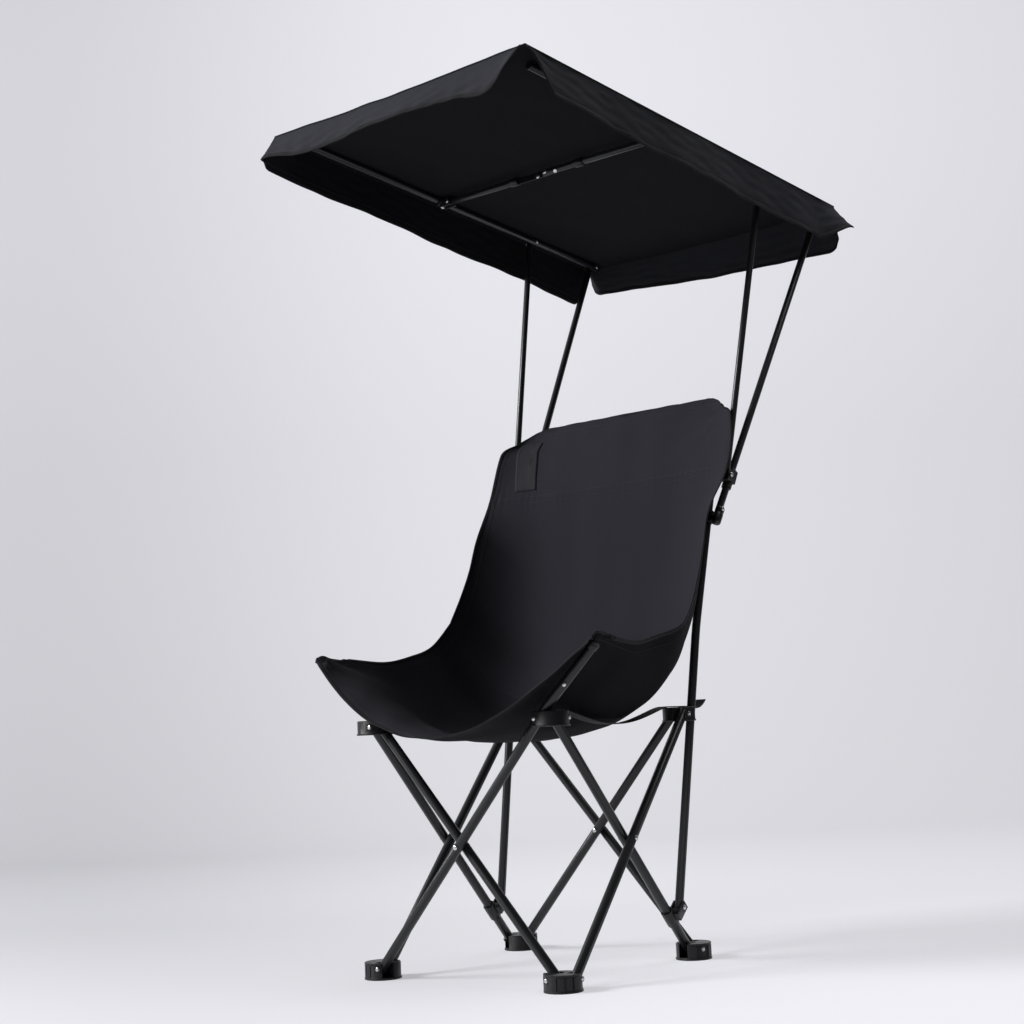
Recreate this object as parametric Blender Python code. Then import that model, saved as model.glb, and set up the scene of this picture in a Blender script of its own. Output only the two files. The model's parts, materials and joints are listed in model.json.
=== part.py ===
# Folding camp chair with a tilting sun canopy, modelled open and ready to sit in.
# The sitter faces -Y, +X is the sitter's left, +Z is up and the floor is z = 0.
# The origin is on the floor, below the middle of the whole chair seen from above.
# Sizes are in metres and angles in degrees, unless a name says share or count.
# Left and right pieces share one shape, drawn on the left and mirrored for the right.
import bpy
import bmesh
import math
from mathutils import Matrix, Vector

# Folding base: four feet, four hubs above them and a scissor of two tubes on each side
foot_spacing = 0.370
foot_pin_height = 0.018
hub_pin_height = 0.410
pin_inset = 0.012
leg_radius = 0.008
leg_wall = 0.0012
leg_end = 0.007
leg_gap = 0.0006
leg_plane_offset = 0.0057
front_bend_start = 0.024
front_bend_angle = 5.5
front_reach = 0.132
pin_radius = 0.0025
pin_clearance = 0.0003
slot_clearance = 0.0005
head_radius = 0.0042
head_height = 0.0012
head_sink = 0.0016

# Plastic feet and hubs
corner_radius = 0.0295
corner_chamfer = 0.001
flange_radius = 0.0308
flange_height = 0.003
foot_height = 0.027
foot_floor = 0.004
hub_below_pin = 0.0125
hub_above_pin = 0.0115

# Long rear posts, each pinned to a bracket low on a leg tube
post_radius = 0.0075
post_wall = 0.0012
post_foot = 0.006
post_hub_back = 0.0140
post_bend_height = 0.560
post_bend_length = 0.060
post_top_height = 0.966
post_upper_lean = 15.4
post_splay = 1.43
post_slot_clearance = 0.0008
bracket_along = 0.0763
bracket_off = 0.022
bracket_length = 0.030
bracket_wall = 0.0022
bracket_plate = 0.0028
bracket_ear = 0.0078

# Canopy arms: a slanted mast and an upright strut on each side
mast_radius = 0.0065
strut_radius = 0.006
arm_wall = 0.001
arm_end = 0.009
arm_side_gap = 0.0011
mast_foot_height = 0.757
mast_foot_forward = 0.0045
mast_foot_side = 0.0218
mast_top_side = 0.2800
mast_top_back = 0.6550
mast_top_height = 1.3950
mast_top_end = 0.004
strut_top_end = 0.0045
collar_wall = 0.0026
collar_length = 0.022
collar_boss = 0.0078
collar_web = 0.0012
clip_along = 0.0735
clip_forward = 0.0192
clip_length = 0.026
clip_wall = 0.0022
clip_plate = 0.0032
clip_plate_shift = 0.0030
clip_ear = 0.0065
strut_play_inside = 0.0026
strut_play_outside = 0.0038
strut_eye_clearance = 0.0018
strut_top_from_mast = 0.2215

# Canopy frame: a rail on each side and a crossbar that breaks at its middle
rail_radius = 0.0065
rail_wall = 0.001
rail_front_back = -0.2400
rail_front_side = 0.2470
rail_front_height = 1.4325
rail_rear_end = 0.010
plug_cap = 0.003
plug_stem = 0.010
crossbar_back = 0.130
crossbar_drop = 0.004
crossbar_radius = 0.006
crossbar_wall = 0.001
crossbar_end = 0.007
joint_length = 0.030
joint_wall = 0.0028
joint_reach = 0.021
joint_plate = 0.004
joint_ear = 0.007
joint_open_height = 0.005
tongue_radius = 0.0064
tongue_nose = 0.0065
tongue_length = 0.066
knuckle_sleeve = 0.018
knuckle_wall = 0.0016
knuckle_insert = 0.002

# Cloth: the canopy, the sling seat and the webbing straps
cloth_thickness = 0.0016
cloth_gap = 0.0008
roof_front_overhang = 0.050
roof_rear_overhang = 0.026
roof_side_front = 0.0315
roof_side_rear = 0.0350
roof_sag = 0.006
flap_drop_front = 0.064
flap_drop_rear = 0.086
flap_corner = 0.036
flap_flare = 0.006
flap_wave = 0.0035
front_valance_drop = 0.037
rear_valance_drop = 0.070
valance_flare = 0.010
valance_wave = 0.003
strap_width = 0.024
strap_thickness = 0.0016
strap_inset = 0.011
strap_rise = 0.0006
strap_dip = 0.0255
strap_tail = 0.056
strap_tail_rise = 0.004

# Fits between pieces that touch
touch_gap = 0.0003
cut_overrun = 0.002

# Facet counts
tube_side_count = 12
pin_side_count = 8
drum_side_count = 20
roof_column_count = 10
roof_row_count = 14
flap_row_count = 3
flap_wave_count = 5
sling_column_count = 18
back_row_count = 15
seat_row_count = 14
strap_step_count = 20

# Each row of the backrest, from its top down to the seat. The first two values place its middle:
# its height and how far it lies in front of the posts. The next three place its edge: side, height
# and distance in front. Then comes the power that bows the row, and 1 if the posts carry the row.
# Heights run from 0 at the seat's rear row to 1 at the post tops, and the other places follow half
# the foot spacing.
back_row_shares = (
    (1.0362, 0.005, 1.222, 1.0245, 0.028, 2.0, 0),
    (0.9925, 0.000, 1.287, 0.9755, 0.057, 6.0, 1),
    (0.9315, -0.033, 1.377, 0.9156, 0.126, 4.0, 0),
    (0.7606, -0.016, 1.360, 0.6558, 0.270, 4.0, 0),
    (0.4943, -0.105, 1.414, 0.4370, 0.389, 4.0, 0),
    (0.3042, -0.120, 1.416, 0.2732, 0.435, 4.0, 0),
    (0.1142, -0.050, 1.432, 0.1367, 0.496, 4.3, 0),
    (0.0000, 0.213, 1.449, 0.0000, 0.583, 4.5, 0),
)

# Each row of the seat, from the backrest to its front lip: the middle's place from the rear and its
# height, then the edge's side, place and height, and the power that bows the row. Places from the
# rear follow half the foot spacing, the middle's height follows the hubs, and the edge's side and
# height follow the tips of the front tubes.
seat_row_shares = (
    (0.838, 1.073, 0.939, 0.649, 1.158, 4.5),
    (0.541, 0.976, 0.960, 0.378, 1.071, 3.8),
    (0.162, 0.924, 0.939, 0.000, 1.033, 3.4),
    (-0.270, 0.917, 0.953, -0.324, 1.013, 3.0),
    (-0.649, 0.922, 0.985, -0.649, 1.023, 2.0),
    (-1.081, 0.932, 1.020, -0.984, 1.044, 1.6),
    (-1.416, 0.941, 1.027, -1.146, 1.048, 1.9),
)

half_spacing = foot_spacing / 2
leg_rise = hub_pin_height - foot_pin_height
leg_run = foot_spacing - 2 * pin_inset
leg_angle = math.atan2(leg_rise, leg_run)
leg_span = math.hypot(leg_rise, leg_run)
outer_plane = leg_plane_offset + leg_radius + leg_gap / 2
inner_plane = leg_plane_offset - leg_radius - leg_gap / 2
slot_half = leg_radius + slot_clearance
slot_start = pin_inset - math.hypot(leg_end, leg_radius) - slot_clearance
hub_low = hub_pin_height - hub_below_pin
hub_high = hub_pin_height + hub_above_pin
hole_radius = pin_radius + pin_clearance
roof_front = rail_front_back - roof_front_overhang
roof_rear = mast_top_back + roof_rear_overhang

black_plastic = (0.018, 0.018, 0.020)
black_cloth = (0.016, 0.016, 0.021)
graphite_paint = (0.045, 0.046, 0.050)
bright_steel = (0.62, 0.62, 0.63)

side_axis = Vector((1, 0, 0))
back_axis = Vector((0, 1, 0))
up_axis = Vector((0, 0, 1))


def clear_scene():
    for old in list(bpy.data.objects):
        bpy.data.objects.remove(old, do_unlink=True)


def make_material(name, colour, roughness, metallic):
    material = bpy.data.materials.new(name)
    material.use_nodes = True
    shader = material.node_tree.nodes["Principled BSDF"]
    shader.inputs["Base Color"].default_value = (*colour, 1)
    shader.inputs["Roughness"].default_value = roughness
    shader.inputs["Metallic"].default_value = metallic
    material.diffuse_color = (*colour, 1)
    return material


def plastic(name):
    return make_material(name, black_plastic, 0.5, 0.0)


def painted(name):
    return make_material(name, graphite_paint, 0.38, 0.3)


def steel(name):
    return make_material(name, bright_steel, 0.25, 1.0)


def fabric(name):
    return make_material(name, black_cloth, 0.9, 0.0)


def finish_mesh(data):
    bmesh.ops.recalc_face_normals(data, faces=data.faces)
    mesh = bpy.data.meshes.new("shape")
    data.to_mesh(mesh)
    data.free()
    return mesh


def mirrored(mesh, mirror):
    if mirror < 0:
        mesh.transform(Matrix.Diagonal((-1, 1, 1, 1)))
        mesh.flip_normals()
    return mesh


def moved(mesh, place):
    mesh.transform(place)
    return mesh


# Makes the named piece from a mesh in world places, with its origin on the given point.
def add_piece(name, mesh, material, origin, mirror=1):
    centre = Vector((mirror * origin.x, origin.y, origin.z))
    mirrored(mesh, mirror)
    mesh.transform(Matrix.Translation(-centre))
    piece = bpy.data.objects.new(name, mesh)
    bpy.context.collection.objects.link(piece)
    piece.location = centre
    mesh.name = name
    mesh.materials.append(material)
    mesh.shade_smooth()
    mesh.set_sharp_from_angle(angle=math.radians(35))
    return piece


# Joins or cuts a piece with another mesh in world places.
def combine(target, mesh, operation, mirror):
    step = len(target.modifiers) + 1
    helper = bpy.data.objects.new(f"{target.name}_{operation.lower()}_{step}", mirrored(mesh, mirror))
    bpy.context.collection.objects.link(helper)
    helper.hide_render = True
    helper.display_type = "WIRE"
    change = target.modifiers.new(f"{operation.title()} {step}", "BOOLEAN")
    change.operation = operation
    change.solver = "EXACT"
    change.object = helper


def cut(target, mesh, mirror=1):
    combine(target, mesh, "DIFFERENCE", mirror)


def fuse(target, mesh, mirror=1):
    combine(target, mesh, "UNION", mirror)


# Skins rings of points, each with the same count, into one closed surface.
# A looped skin joins its last ring to its first, and any other gets end caps.
def skin(rings, looped=False):
    data = bmesh.new()
    rows = [[data.verts.new(point) for point in ring] for ring in rings]
    count = len(rows[0])
    pairs = list(zip(rows, rows[1:]))
    if looped:
        pairs.append((rows[-1], rows[0]))
    else:
        data.faces.new(rows[0])
        data.faces.new(rows[-1])
    for low, high in pairs:
        for i in range(count):
            j = (i + 1) % count
            data.faces.new((low[i], low[j], high[j], high[i]))
    return finish_mesh(data)


def ring_points(centre, radius, across, beside, count):
    points = []
    for i in range(count):
        angle = math.tau * (i + 0.5) / count
        points.append(centre + radius * (across * math.cos(angle) + beside * math.sin(angle)))
    return points


# Rings square to a path that bends in one upright plane at most.
def path_rings(path, radius, count):
    overall = (path[-1] - path[0]).normalized()
    normal = back_axis if abs(overall.x) > abs(overall.y) else side_axis
    rings = []
    for i, point in enumerate(path):
        along = (path[min(i + 1, len(path) - 1)] - path[max(i - 1, 0)]).normalized()
        across = along.cross(normal).normalized()
        rings.append(ring_points(point, radius, across, across.cross(along), count))
    return rings


def tube(path, radius, wall, count=tube_side_count):
    outside = path_rings(path, radius, count)
    inside = path_rings(path, radius - wall, count)
    return skin(outside + inside[::-1], looped=True)


def rod(path, radius, count=tube_side_count):
    return skin(path_rings(path, radius, count))


def pin_hole(centre, axis, reach, radius=hole_radius):
    return rod([centre - axis * reach, centre + axis * reach], radius, pin_side_count)


# A rounded bend from one straight run to the next, the given length from end to end.
def bend_path(start, corner, end, length):
    before = corner + (start - corner).normalized() * length / 2
    after = corner + (end - corner).normalized() * length / 2
    path = [start]
    for share in (0, 0.25, 0.5, 0.75, 1):
        path.append(before.lerp(corner, share).lerp(corner.lerp(after, share), share))
    return path + [end]


def block(low, high):
    data = bmesh.new()
    bmesh.ops.create_cube(data, size=1)
    size = Vector(high) - Vector(low)
    middle = (Vector(high) + Vector(low)) / 2
    data.transform(Matrix.Translation(middle) @ Matrix.Diagonal((*size, 1)))
    return finish_mesh(data)


# A turned shape along a direction from its origin: (distance, radius) pairs give its outline.
def turned(origin, along, outline, count):
    spare = side_axis if abs(along.z) > abs(along.x) + abs(along.y) else up_axis
    across = along.cross(spare).normalized()
    beside = across.cross(along)
    rings = [ring_points(origin + along * place, radius, across, beside, count) for place, radius in outline]
    return skin(rings)


# A rivet between two distances along an axis through its centre, with a head on each named end.
def rivet(centre, along, low, high, low_head=True, high_head=True):
    outline = [(low, pin_radius), (high, pin_radius)]
    if low_head:
        outline = [(low - head_height, head_radius), (low, head_radius)] + outline
    if high_head:
        outline += [(high, head_radius), (high + head_height, head_radius)]
    return turned(centre, along, outline, pin_side_count)


# A corner's own frame: +X and +Y run along the two sides that meet there.
def corner_place(corner):
    turn = Matrix.Rotation(math.radians(90) * corner, 4, "Z")
    return turn @ Matrix.Translation((-half_spacing, -half_spacing, 0))


def drum(low, high):
    outline = [
        (low, flange_radius),
        (low + flange_height, flange_radius),
        (low + flange_height, corner_radius),
        (high - corner_chamfer, corner_radius),
        (high, corner_radius - corner_chamfer),
    ]
    return turned(Vector(), up_axis, outline, drum_side_count)


# The fixed pin of a slot, from a head on the drum's rim into the slot's inner wall.
def corner_pin(start, along, inner_wall):
    rim = math.sqrt(corner_radius**2 - pin_inset**2)
    outline = [
        (-rim - head_height, head_radius),
        (-rim - head_height + head_sink, head_radius),
        (-rim - head_height + head_sink, pin_radius),
        (inner_wall + cut_overrun, pin_radius),
    ]
    return turned(start, along, outline, pin_side_count)


# A foot or a hub: a flanged drum with two slots for tube ends and a fixed pin across each slot.
# One slot runs along +X and one along +Y, offset outwards by the planes of the tubes they hold.
def corner_block(name, corner, low, high, slot_low, pin_height, x_plane, y_plane):
    place = corner_place(corner)
    centre = place @ Vector((0, 0, pin_height))
    piece = add_piece(name, moved(drum(low, high), place), plastic(name), centre)
    far = flange_radius + cut_overrun
    top = high + cut_overrun
    x_slot = block((slot_start, -x_plane - slot_half, slot_low), (far, -x_plane + slot_half, top))
    y_slot = block((-y_plane - slot_half, slot_start, slot_low), (-y_plane + slot_half, far, top))
    cut(piece, moved(x_slot, place))
    cut(piece, moved(y_slot, place))
    x_pin = corner_pin(Vector((pin_inset, 0, pin_height)), back_axis, -x_plane + slot_half)
    y_pin = corner_pin(Vector((0, pin_inset, pin_height)), side_axis, -y_plane + slot_half)
    fuse(piece, moved(x_pin, place))
    fuse(piece, moved(y_pin, place))
    return piece


corner_names = ("front_right", "front_left", "rear_left", "rear_right")
side_names = ("front", "left", "rear", "right")


def build_feet():
    for corner, label in enumerate(corner_names):
        corner_block(
            f"{label}_foot", corner, 0, foot_height, foot_floor,
            foot_pin_height, outer_plane, inner_plane,
        )


def build_hubs():
    for corner, label in enumerate(corner_names):
        hub = corner_block(
            f"{label}_hub", corner, hub_low, hub_high, hub_low - cut_overrun,
            hub_pin_height, inner_plane, outer_plane,
        )
        if label.startswith("front"):
            cut(hub, moved(front_notch(), leg_place(0, label == "front_left")))
        else:
            cut(hub, post_cradle(), 1 if label == "rear_left" else -1)


# The front tubes run on past their hubs, so each front hub is notched along its tube.
def front_notch():
    return block((-slot_half, -slot_half, leg_span), (slot_half, slot_half, leg_span + corner_radius))


# Each rear hub holds its post in a cradle that is open to the rear and to the outside.
def post_cradle():
    inside = post_side(hub_low) - post_radius - post_slot_clearance
    front = post_back(hub_low) - post_radius / math.cos(post_lower_lean()) - post_slot_clearance
    rim = half_spacing + flange_radius + cut_overrun
    return block((inside, front, hub_low - cut_overrun), (rim, rim, hub_high + cut_overrun))


# The pin that joins the left post to its bracket.
def post_pin():
    back = half_spacing - pin_inset - bracket_along * math.cos(leg_angle) + bracket_off * math.sin(leg_angle)
    up = foot_pin_height + bracket_along * math.sin(leg_angle) + bracket_off * math.cos(leg_angle)
    return Vector((half_spacing + leg_plane_offset, back, up))


def post_lower_lean():
    pin = post_pin()
    return math.atan2(half_spacing + post_hub_back - pin.y, hub_pin_height - pin.z)


def post_side(height):
    pin = post_pin()
    return pin.x + (height - pin.z) * math.tan(math.radians(post_splay))


def post_back(height):
    pin = post_pin()
    low = min(height, post_bend_height)
    lower = pin.y + (low - pin.z) * math.tan(post_lower_lean())
    return lower + (height - low) * math.tan(math.radians(post_upper_lean))


def post_point(height):
    return Vector((post_side(height), post_back(height), height))


# A tube's own frame: +Z runs from its foot pin to its hub pin.
def leg_place(side, outer):
    plane = outer_plane if outer else inner_plane
    way = 1 if outer else -1
    start = Vector((-way * (half_spacing - pin_inset), -half_spacing - plane, foot_pin_height))
    lean = Matrix.Rotation(way * (math.radians(90) - leg_angle), 4, "Y")
    turn = Matrix.Rotation(math.radians(90) * side, 4, "Z")
    return turn @ Matrix.Translation(start) @ lean


def build_leg(name, side, outer):
    place = leg_place(side, outer)
    start = -up_axis * leg_end
    if side == 0:
        corner = up_axis * (leg_span + front_bend_start)
        bend = math.radians(front_bend_angle) * (1 if outer else -1)
        way = Vector((math.sin(bend), 0, math.cos(bend)))
        path = bend_path(start, corner, corner + way * front_reach, front_bend_start)
    else:
        path = [start, up_axis * (leg_span + leg_end)]
    mesh = moved(tube(path, leg_radius, leg_wall), place)
    piece = add_piece(name, mesh, painted(name), place.translation)
    for distance in (0, leg_span / 2, leg_span):
        hole = pin_hole(up_axis * distance, back_axis, leg_radius + cut_overrun)
        cut(piece, moved(hole, place))


def build_legs():
    for side, label in enumerate(side_names):
        after = side_names[(side + 1) % 4]
        before = side_names[side - 1]
        build_leg(f"{label}_leg_to_{after}", side, True)
        build_leg(f"{label}_leg_to_{before}", side, False)
        build_crossing_rivet(f"{label}_crossing_rivet", side)


def build_crossing_rivet(name, side):
    middle = Vector((0, -half_spacing - leg_plane_offset, (foot_pin_height + hub_pin_height) / 2))
    turn = Matrix.Rotation(math.radians(90) * side, 4, "Z")
    grip = 2 * leg_radius + leg_gap / 2 + touch_gap
    mesh = moved(rivet(middle, back_axis, -grip, grip), turn)
    add_piece(name, mesh, steel(name), turn @ middle)


# A fork open towards +Y: one outline of a web and two ears, carried along Z to both sides.
def fork(inside, outside, low, web_top, ear):
    outline = (
        (-outside, low), (outside, low), (outside, ear), (inside, ear),
        (inside, web_top), (-inside, web_top), (-inside, ear), (-outside, ear),
    )
    return skin([[Vector((x, y, z)) for x, y in outline] for z in (-ear, ear)])


# A bracket low on a leg tube: a sleeve and a fork, whose pin carries the post's foot.
# Its frame has the pin as origin and +Z along the leg tube, which lies towards -Y.
def build_post_bracket(label, mirror):
    name = f"{label}_post_bracket"
    pin = post_pin()
    place = Matrix.Translation(pin) @ Matrix.Rotation(math.radians(90) - leg_angle, 4, "X")
    tube_side = (inner_plane if mirror > 0 else outer_plane) - leg_plane_offset
    tube_centre = Vector((tube_side, -bracket_off, 0))
    half = up_axis * bracket_length / 2
    sleeve = leg_radius + touch_gap
    body = rod([tube_centre - half, tube_centre + half], sleeve + bracket_wall)
    piece = add_piece(name, moved(body, place), painted(name), pin, mirror)
    inside = post_radius + touch_gap
    edge = inside + bracket_plate
    web_top = -math.hypot(post_foot, post_radius) - touch_gap
    fuse(piece, moved(fork(inside, edge, -bracket_off, web_top, bracket_ear), place), mirror)
    cut(piece, moved(rod([tube_centre - 2 * half, tube_centre + 2 * half], sleeve), place), mirror)
    cut(piece, pin_hole(pin, side_axis, edge + cut_overrun), mirror)
    pin_name = f"{label}_post_pin"
    grip = edge + touch_gap
    add_piece(pin_name, rivet(pin, side_axis, -grip, grip), steel(pin_name), pin, mirror)


def build_post(label, mirror):
    name = f"{label}_post"
    pin = post_pin()
    corner = post_point(post_bend_height)
    start = pin - (corner - pin).normalized() * post_foot
    path = bend_path(start, corner, post_point(post_top_height), post_bend_length)
    piece = add_piece(name, tube(path, post_radius, post_wall), painted(name), pin, mirror)
    cut(piece, pin_hole(pin, side_axis, post_radius + cut_overrun), mirror)


def mast_foot():
    return post_point(mast_foot_height) + Vector((mast_foot_side, -mast_foot_forward, 0))


def mast_top():
    return Vector((mast_top_side, mast_top_back, mast_top_height))


def mast_way():
    return (mast_top() - mast_foot()).normalized()


# The mast's frame as seen from the side: +Z up the mast and -Y square to it, towards the front.
def mast_frame(origin):
    way = mast_way()
    return Matrix.Translation(origin) @ Matrix.Rotation(-math.atan2(way.y, way.z), 4, "X")


# A collar on the post, with a boss on its outer side for the mast's foot pin.
def build_mast_collar(label, mirror):
    name = f"{label}_mast_collar"
    centre = post_point(mast_foot_height)
    above = post_point(mast_foot_height + collar_length)
    half = (above - centre).normalized() * collar_length / 2
    sleeve = post_radius + touch_gap
    foot = mast_foot()
    body = rod([centre - half, centre + half], sleeve + collar_wall)
    piece = add_piece(name, body, plastic(name), foot, mirror)
    face = foot.x - mast_radius - arm_side_gap
    low = (centre.x, foot.y - collar_boss, foot.z - collar_boss)
    fuse(piece, block(low, (face, foot.y + collar_boss, foot.z + collar_boss)), mirror)
    cut(piece, rod([centre - half * 2, centre + half * 2], sleeve), mirror)
    depth = centre.x + sleeve + collar_web
    cut(piece, rod([Vector((depth, foot.y, foot.z)), foot], hole_radius, pin_side_count), mirror)
    pin_name = f"{label}_mast_foot_pin"
    shank = rivet(foot, side_axis, depth - foot.x + touch_gap, mast_radius + touch_gap, low_head=False)
    add_piece(pin_name, shank, steel(pin_name), foot, mirror)


def build_mast(label, mirror):
    name = f"{label}_mast"
    foot, top, way = mast_foot(), mast_top(), mast_way()
    path = [foot - way * arm_end, top + way * mast_top_end]
    piece = add_piece(name, tube(path, mast_radius, arm_wall), painted(name), foot, mirror)
    for centre in (foot, top):
        cut(piece, pin_hole(centre, side_axis, mast_radius + cut_overrun), mirror)


def clip_centre():
    return mast_foot() + mast_way() * clip_along


def clip_plate_outside():
    return clip_centre().x - clip_plate_shift + clip_plate / 2


def clip_pin():
    point = mast_frame(clip_centre()) @ Vector((0, -clip_forward, 0))
    return Vector((clip_plate_outside() + strut_play_inside + strut_radius, point.y, point.z))


# A clip that slides on the mast, with a plate and a pin for the strut's lower eye.
def build_clip(label, mirror):
    name = f"{label}_strut_clip"
    centre, way = clip_centre(), mast_way()
    sleeve = mast_radius + touch_gap
    half = way * clip_length / 2
    body = rod([centre - half, centre + half], sleeve + clip_wall)
    piece = add_piece(name, body, plastic(name), centre, mirror)
    outside = clip_plate_outside() - centre.x
    low = (outside - clip_plate, -clip_forward - clip_ear, -clip_ear)
    fuse(piece, moved(block(low, (outside, 0, clip_ear)), mast_frame(centre)), mirror)
    cut(piece, rod([centre - half * 2, centre + half * 2], sleeve), mirror)
    root = -strut_radius - strut_play_inside - clip_plate / 2
    fuse(piece, rivet(clip_pin(), side_axis, root, strut_radius + strut_play_outside, low_head=False), mirror)


def rail_rear():
    side = mast_top_side - mast_radius - rail_radius - arm_side_gap
    return Vector((side, mast_top_back, mast_top_height))


def rail_front():
    return Vector((rail_front_side, rail_front_back, rail_front_height))


def rail_way():
    return (rail_front() - rail_rear()).normalized()


def rail_at(back):
    share = (back - mast_top_back) / (rail_front_back - mast_top_back)
    return rail_rear() + (rail_front() - rail_rear()) * share


def strut_side_step():
    return rail_radius + strut_radius + arm_side_gap


def strut_rail_point():
    return rail_rear() + rail_way() * strut_top_from_mast


def build_strut(label, mirror):
    name = f"{label}_strut"
    foot = clip_pin()
    top = strut_rail_point() + side_axis * strut_side_step()
    way = (top - foot).normalized()
    path = [foot - way * arm_end, top + way * strut_top_end]
    piece = add_piece(name, tube(path, strut_radius, arm_wall), painted(name), top, mirror)
    cut(piece, pin_hole(top, side_axis, strut_radius + cut_overrun), mirror)
    eye = pin_radius + strut_eye_clearance
    cut(piece, pin_hole(foot, side_axis, strut_radius + cut_overrun, eye), mirror)


# A rail, the two pins through it and the plug in its front end.
def build_rail(label, mirror):
    name = f"{label}_rail"
    rear, front, way = rail_rear(), rail_front(), rail_way()
    mesh = tube([rear - way * rail_rear_end, front], rail_radius, rail_wall)
    piece = add_piece(name, mesh, painted(name), rear, mirror)
    mast_grip = mast_top_side + mast_radius + touch_gap - rear.x
    strut_grip = strut_side_step() + strut_radius + touch_gap
    for pin_name, centre, grip in (
        (f"{label}_mast_head_pin", rear, mast_grip),
        (f"{label}_strut_head_pin", strut_rail_point(), strut_grip),
    ):
        cut(piece, pin_hole(centre, side_axis, rail_radius + cut_overrun), mirror)
        pin = rivet(centre, side_axis, -rail_radius - touch_gap, grip)
        add_piece(pin_name, pin, steel(pin_name), centre, mirror)
    plug_name = f"{label}_rail_plug"
    stem = rail_radius - rail_wall - touch_gap
    outline = [(-plug_stem, stem), (touch_gap, stem), (touch_gap, rail_radius), (plug_cap, rail_radius)]
    add_piece(plug_name, turned(front, way, outline, tube_side_count), plastic(plug_name), front, mirror)


def crossbar_hinge():
    return rail_at(crossbar_back) - side_axis * joint_reach - up_axis * crossbar_drop


# How steeply the rails climb towards the front.
def rail_slope():
    return math.atan2(rail_front_height - mast_top_height, mast_top_back - rail_front_back)


# A clip on the rail, open at its top under the cloth, with a fork and pin for half the crossbar.
def build_rail_joint(label, mirror):
    name = f"{label}_rail_joint"
    rail, way, hinge = rail_at(crossbar_back), rail_way(), crossbar_hinge()
    half = way * joint_length / 2
    sleeve = rail_radius + touch_gap
    outside = sleeve + joint_wall
    piece = add_piece(name, rod([rail - half, rail + half], outside), plastic(name), hinge, mirror)
    inside = crossbar_radius + touch_gap
    edge = inside + joint_plate
    for side in (-1, 1):
        near, far = sorted((side * inside, side * edge))
        low = (hinge.x - joint_ear, rail.y + near, hinge.z - joint_ear)
        fuse(piece, block(low, (rail.x, rail.y + far, hinge.z + joint_ear)), mirror)
    cut(piece, rod([rail - half * 2, rail + half * 2], sleeve), mirror)
    opening = block((-outside, -joint_length, joint_open_height), (outside, joint_length, 2 * outside))
    cut(piece, moved(opening, Matrix.Translation(rail) @ Matrix.Rotation(-rail_slope(), 4, "X")), mirror)
    grip = edge - head_sink + head_height
    fuse(piece, rivet(hinge, back_axis, -grip, grip), mirror)


# Half of the crossbar, and its half-round tongue, which laps its partner's tongue at the middle.
def build_crossbar(label, mirror):
    name = f"{label}_crossbar"
    hinge = crossbar_hinge()
    outer = hinge + side_axis * crossbar_end
    inner = Vector((tongue_length + knuckle_insert, hinge.y, hinge.z))
    piece = add_piece(name, tube([inner, outer], crossbar_radius, crossbar_wall), painted(name), hinge, mirror)
    cut(piece, pin_hole(hinge, back_axis, crossbar_radius + cut_overrun), mirror)
    tongue_name = f"{label}_crossbar_tongue"
    sleeve = crossbar_radius + touch_gap
    middle = Vector((0, hinge.y, hinge.z))
    start = middle + side_axis * tongue_length
    end = start + side_axis * knuckle_sleeve
    body = rod([start, end], sleeve + knuckle_wall)
    tongue = add_piece(tongue_name, body, plastic(tongue_name), middle, mirror)
    fuse(tongue, rod([middle - side_axis * tongue_nose, start + side_axis * knuckle_insert], tongue_radius), mirror)
    near = -mirror * touch_gap / 2
    front, rear = sorted((near, near + mirror * 2 * tongue_radius))
    low = (-2 * tongue_nose, hinge.y + front, hinge.z - 2 * tongue_radius)
    cut(tongue, block(low, (tongue_length, hinge.y + rear, hinge.z + 2 * tongue_radius)), mirror)
    cut(tongue, rod([inner - side_axis * touch_gap, end + side_axis * cut_overrun], sleeve), mirror)
    if mirror > 0:
        cut(tongue, pin_hole(middle, back_axis, 2 * tongue_radius))
        pin = rivet(middle, back_axis, -tongue_radius - touch_gap, near, high_head=False)
        add_piece("crossbar_rivet", pin, steel("crossbar_rivet"), middle)


# Thickens an open sheet of faces behind its front side into a closed solid.
def thicken(points, faces, thickness):
    data = bmesh.new()
    front = [data.verts.new(point) for point in points]
    for face in faces:
        data.faces.new([front[i] for i in face])
    data.normal_update()
    data.verts.index_update()
    rim = [tuple(vert.index for vert in edge.verts) for edge in data.edges if edge.is_boundary]
    back = [data.verts.new(vert.co - vert.normal * thickness) for vert in front]
    for face in faces:
        data.faces.new([back[i] for i in reversed(face)])
    for a, b in rim:
        data.faces.new((front[a], front[b], back[b], back[a]))
    return finish_mesh(data)


def grid_faces(row_count, column_count):
    faces = []
    for i in range(row_count - 1):
        for j in range(column_count - 1):
            a = i * column_count + j
            faces.append((a, a + column_count, a + column_count + 1, a + 1))
    return faces


# A smooth curve through the rows of a table, from share 0 at its first row to 1 at its last.
def along_table(table, share):
    place = share * (len(table) - 1)
    i = min(int(place), len(table) - 2)
    t = place - i
    before = table[max(i - 1, 0)]
    after = table[min(i + 2, len(table) - 1)]
    values = []
    for a, b, c, d in zip(before, table[i], table[i + 1], after):
        curve = 2 * b + (c - a) * t + (2 * a - 5 * b + 4 * c - d) * t**2 + (3 * b - a - 3 * c + d) * t**3
        values.append(curve / 2)
    return values


# The end of a front tube, seen from the front.
def front_tip():
    angle = leg_angle - math.radians(front_bend_angle)
    run = math.cos(leg_angle) * front_bend_start + math.cos(angle) * front_reach
    rise = math.sin(leg_angle) * front_bend_start + math.sin(angle) * front_reach
    return Vector((half_spacing - pin_inset + run, -half_spacing, hub_pin_height + rise))


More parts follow.
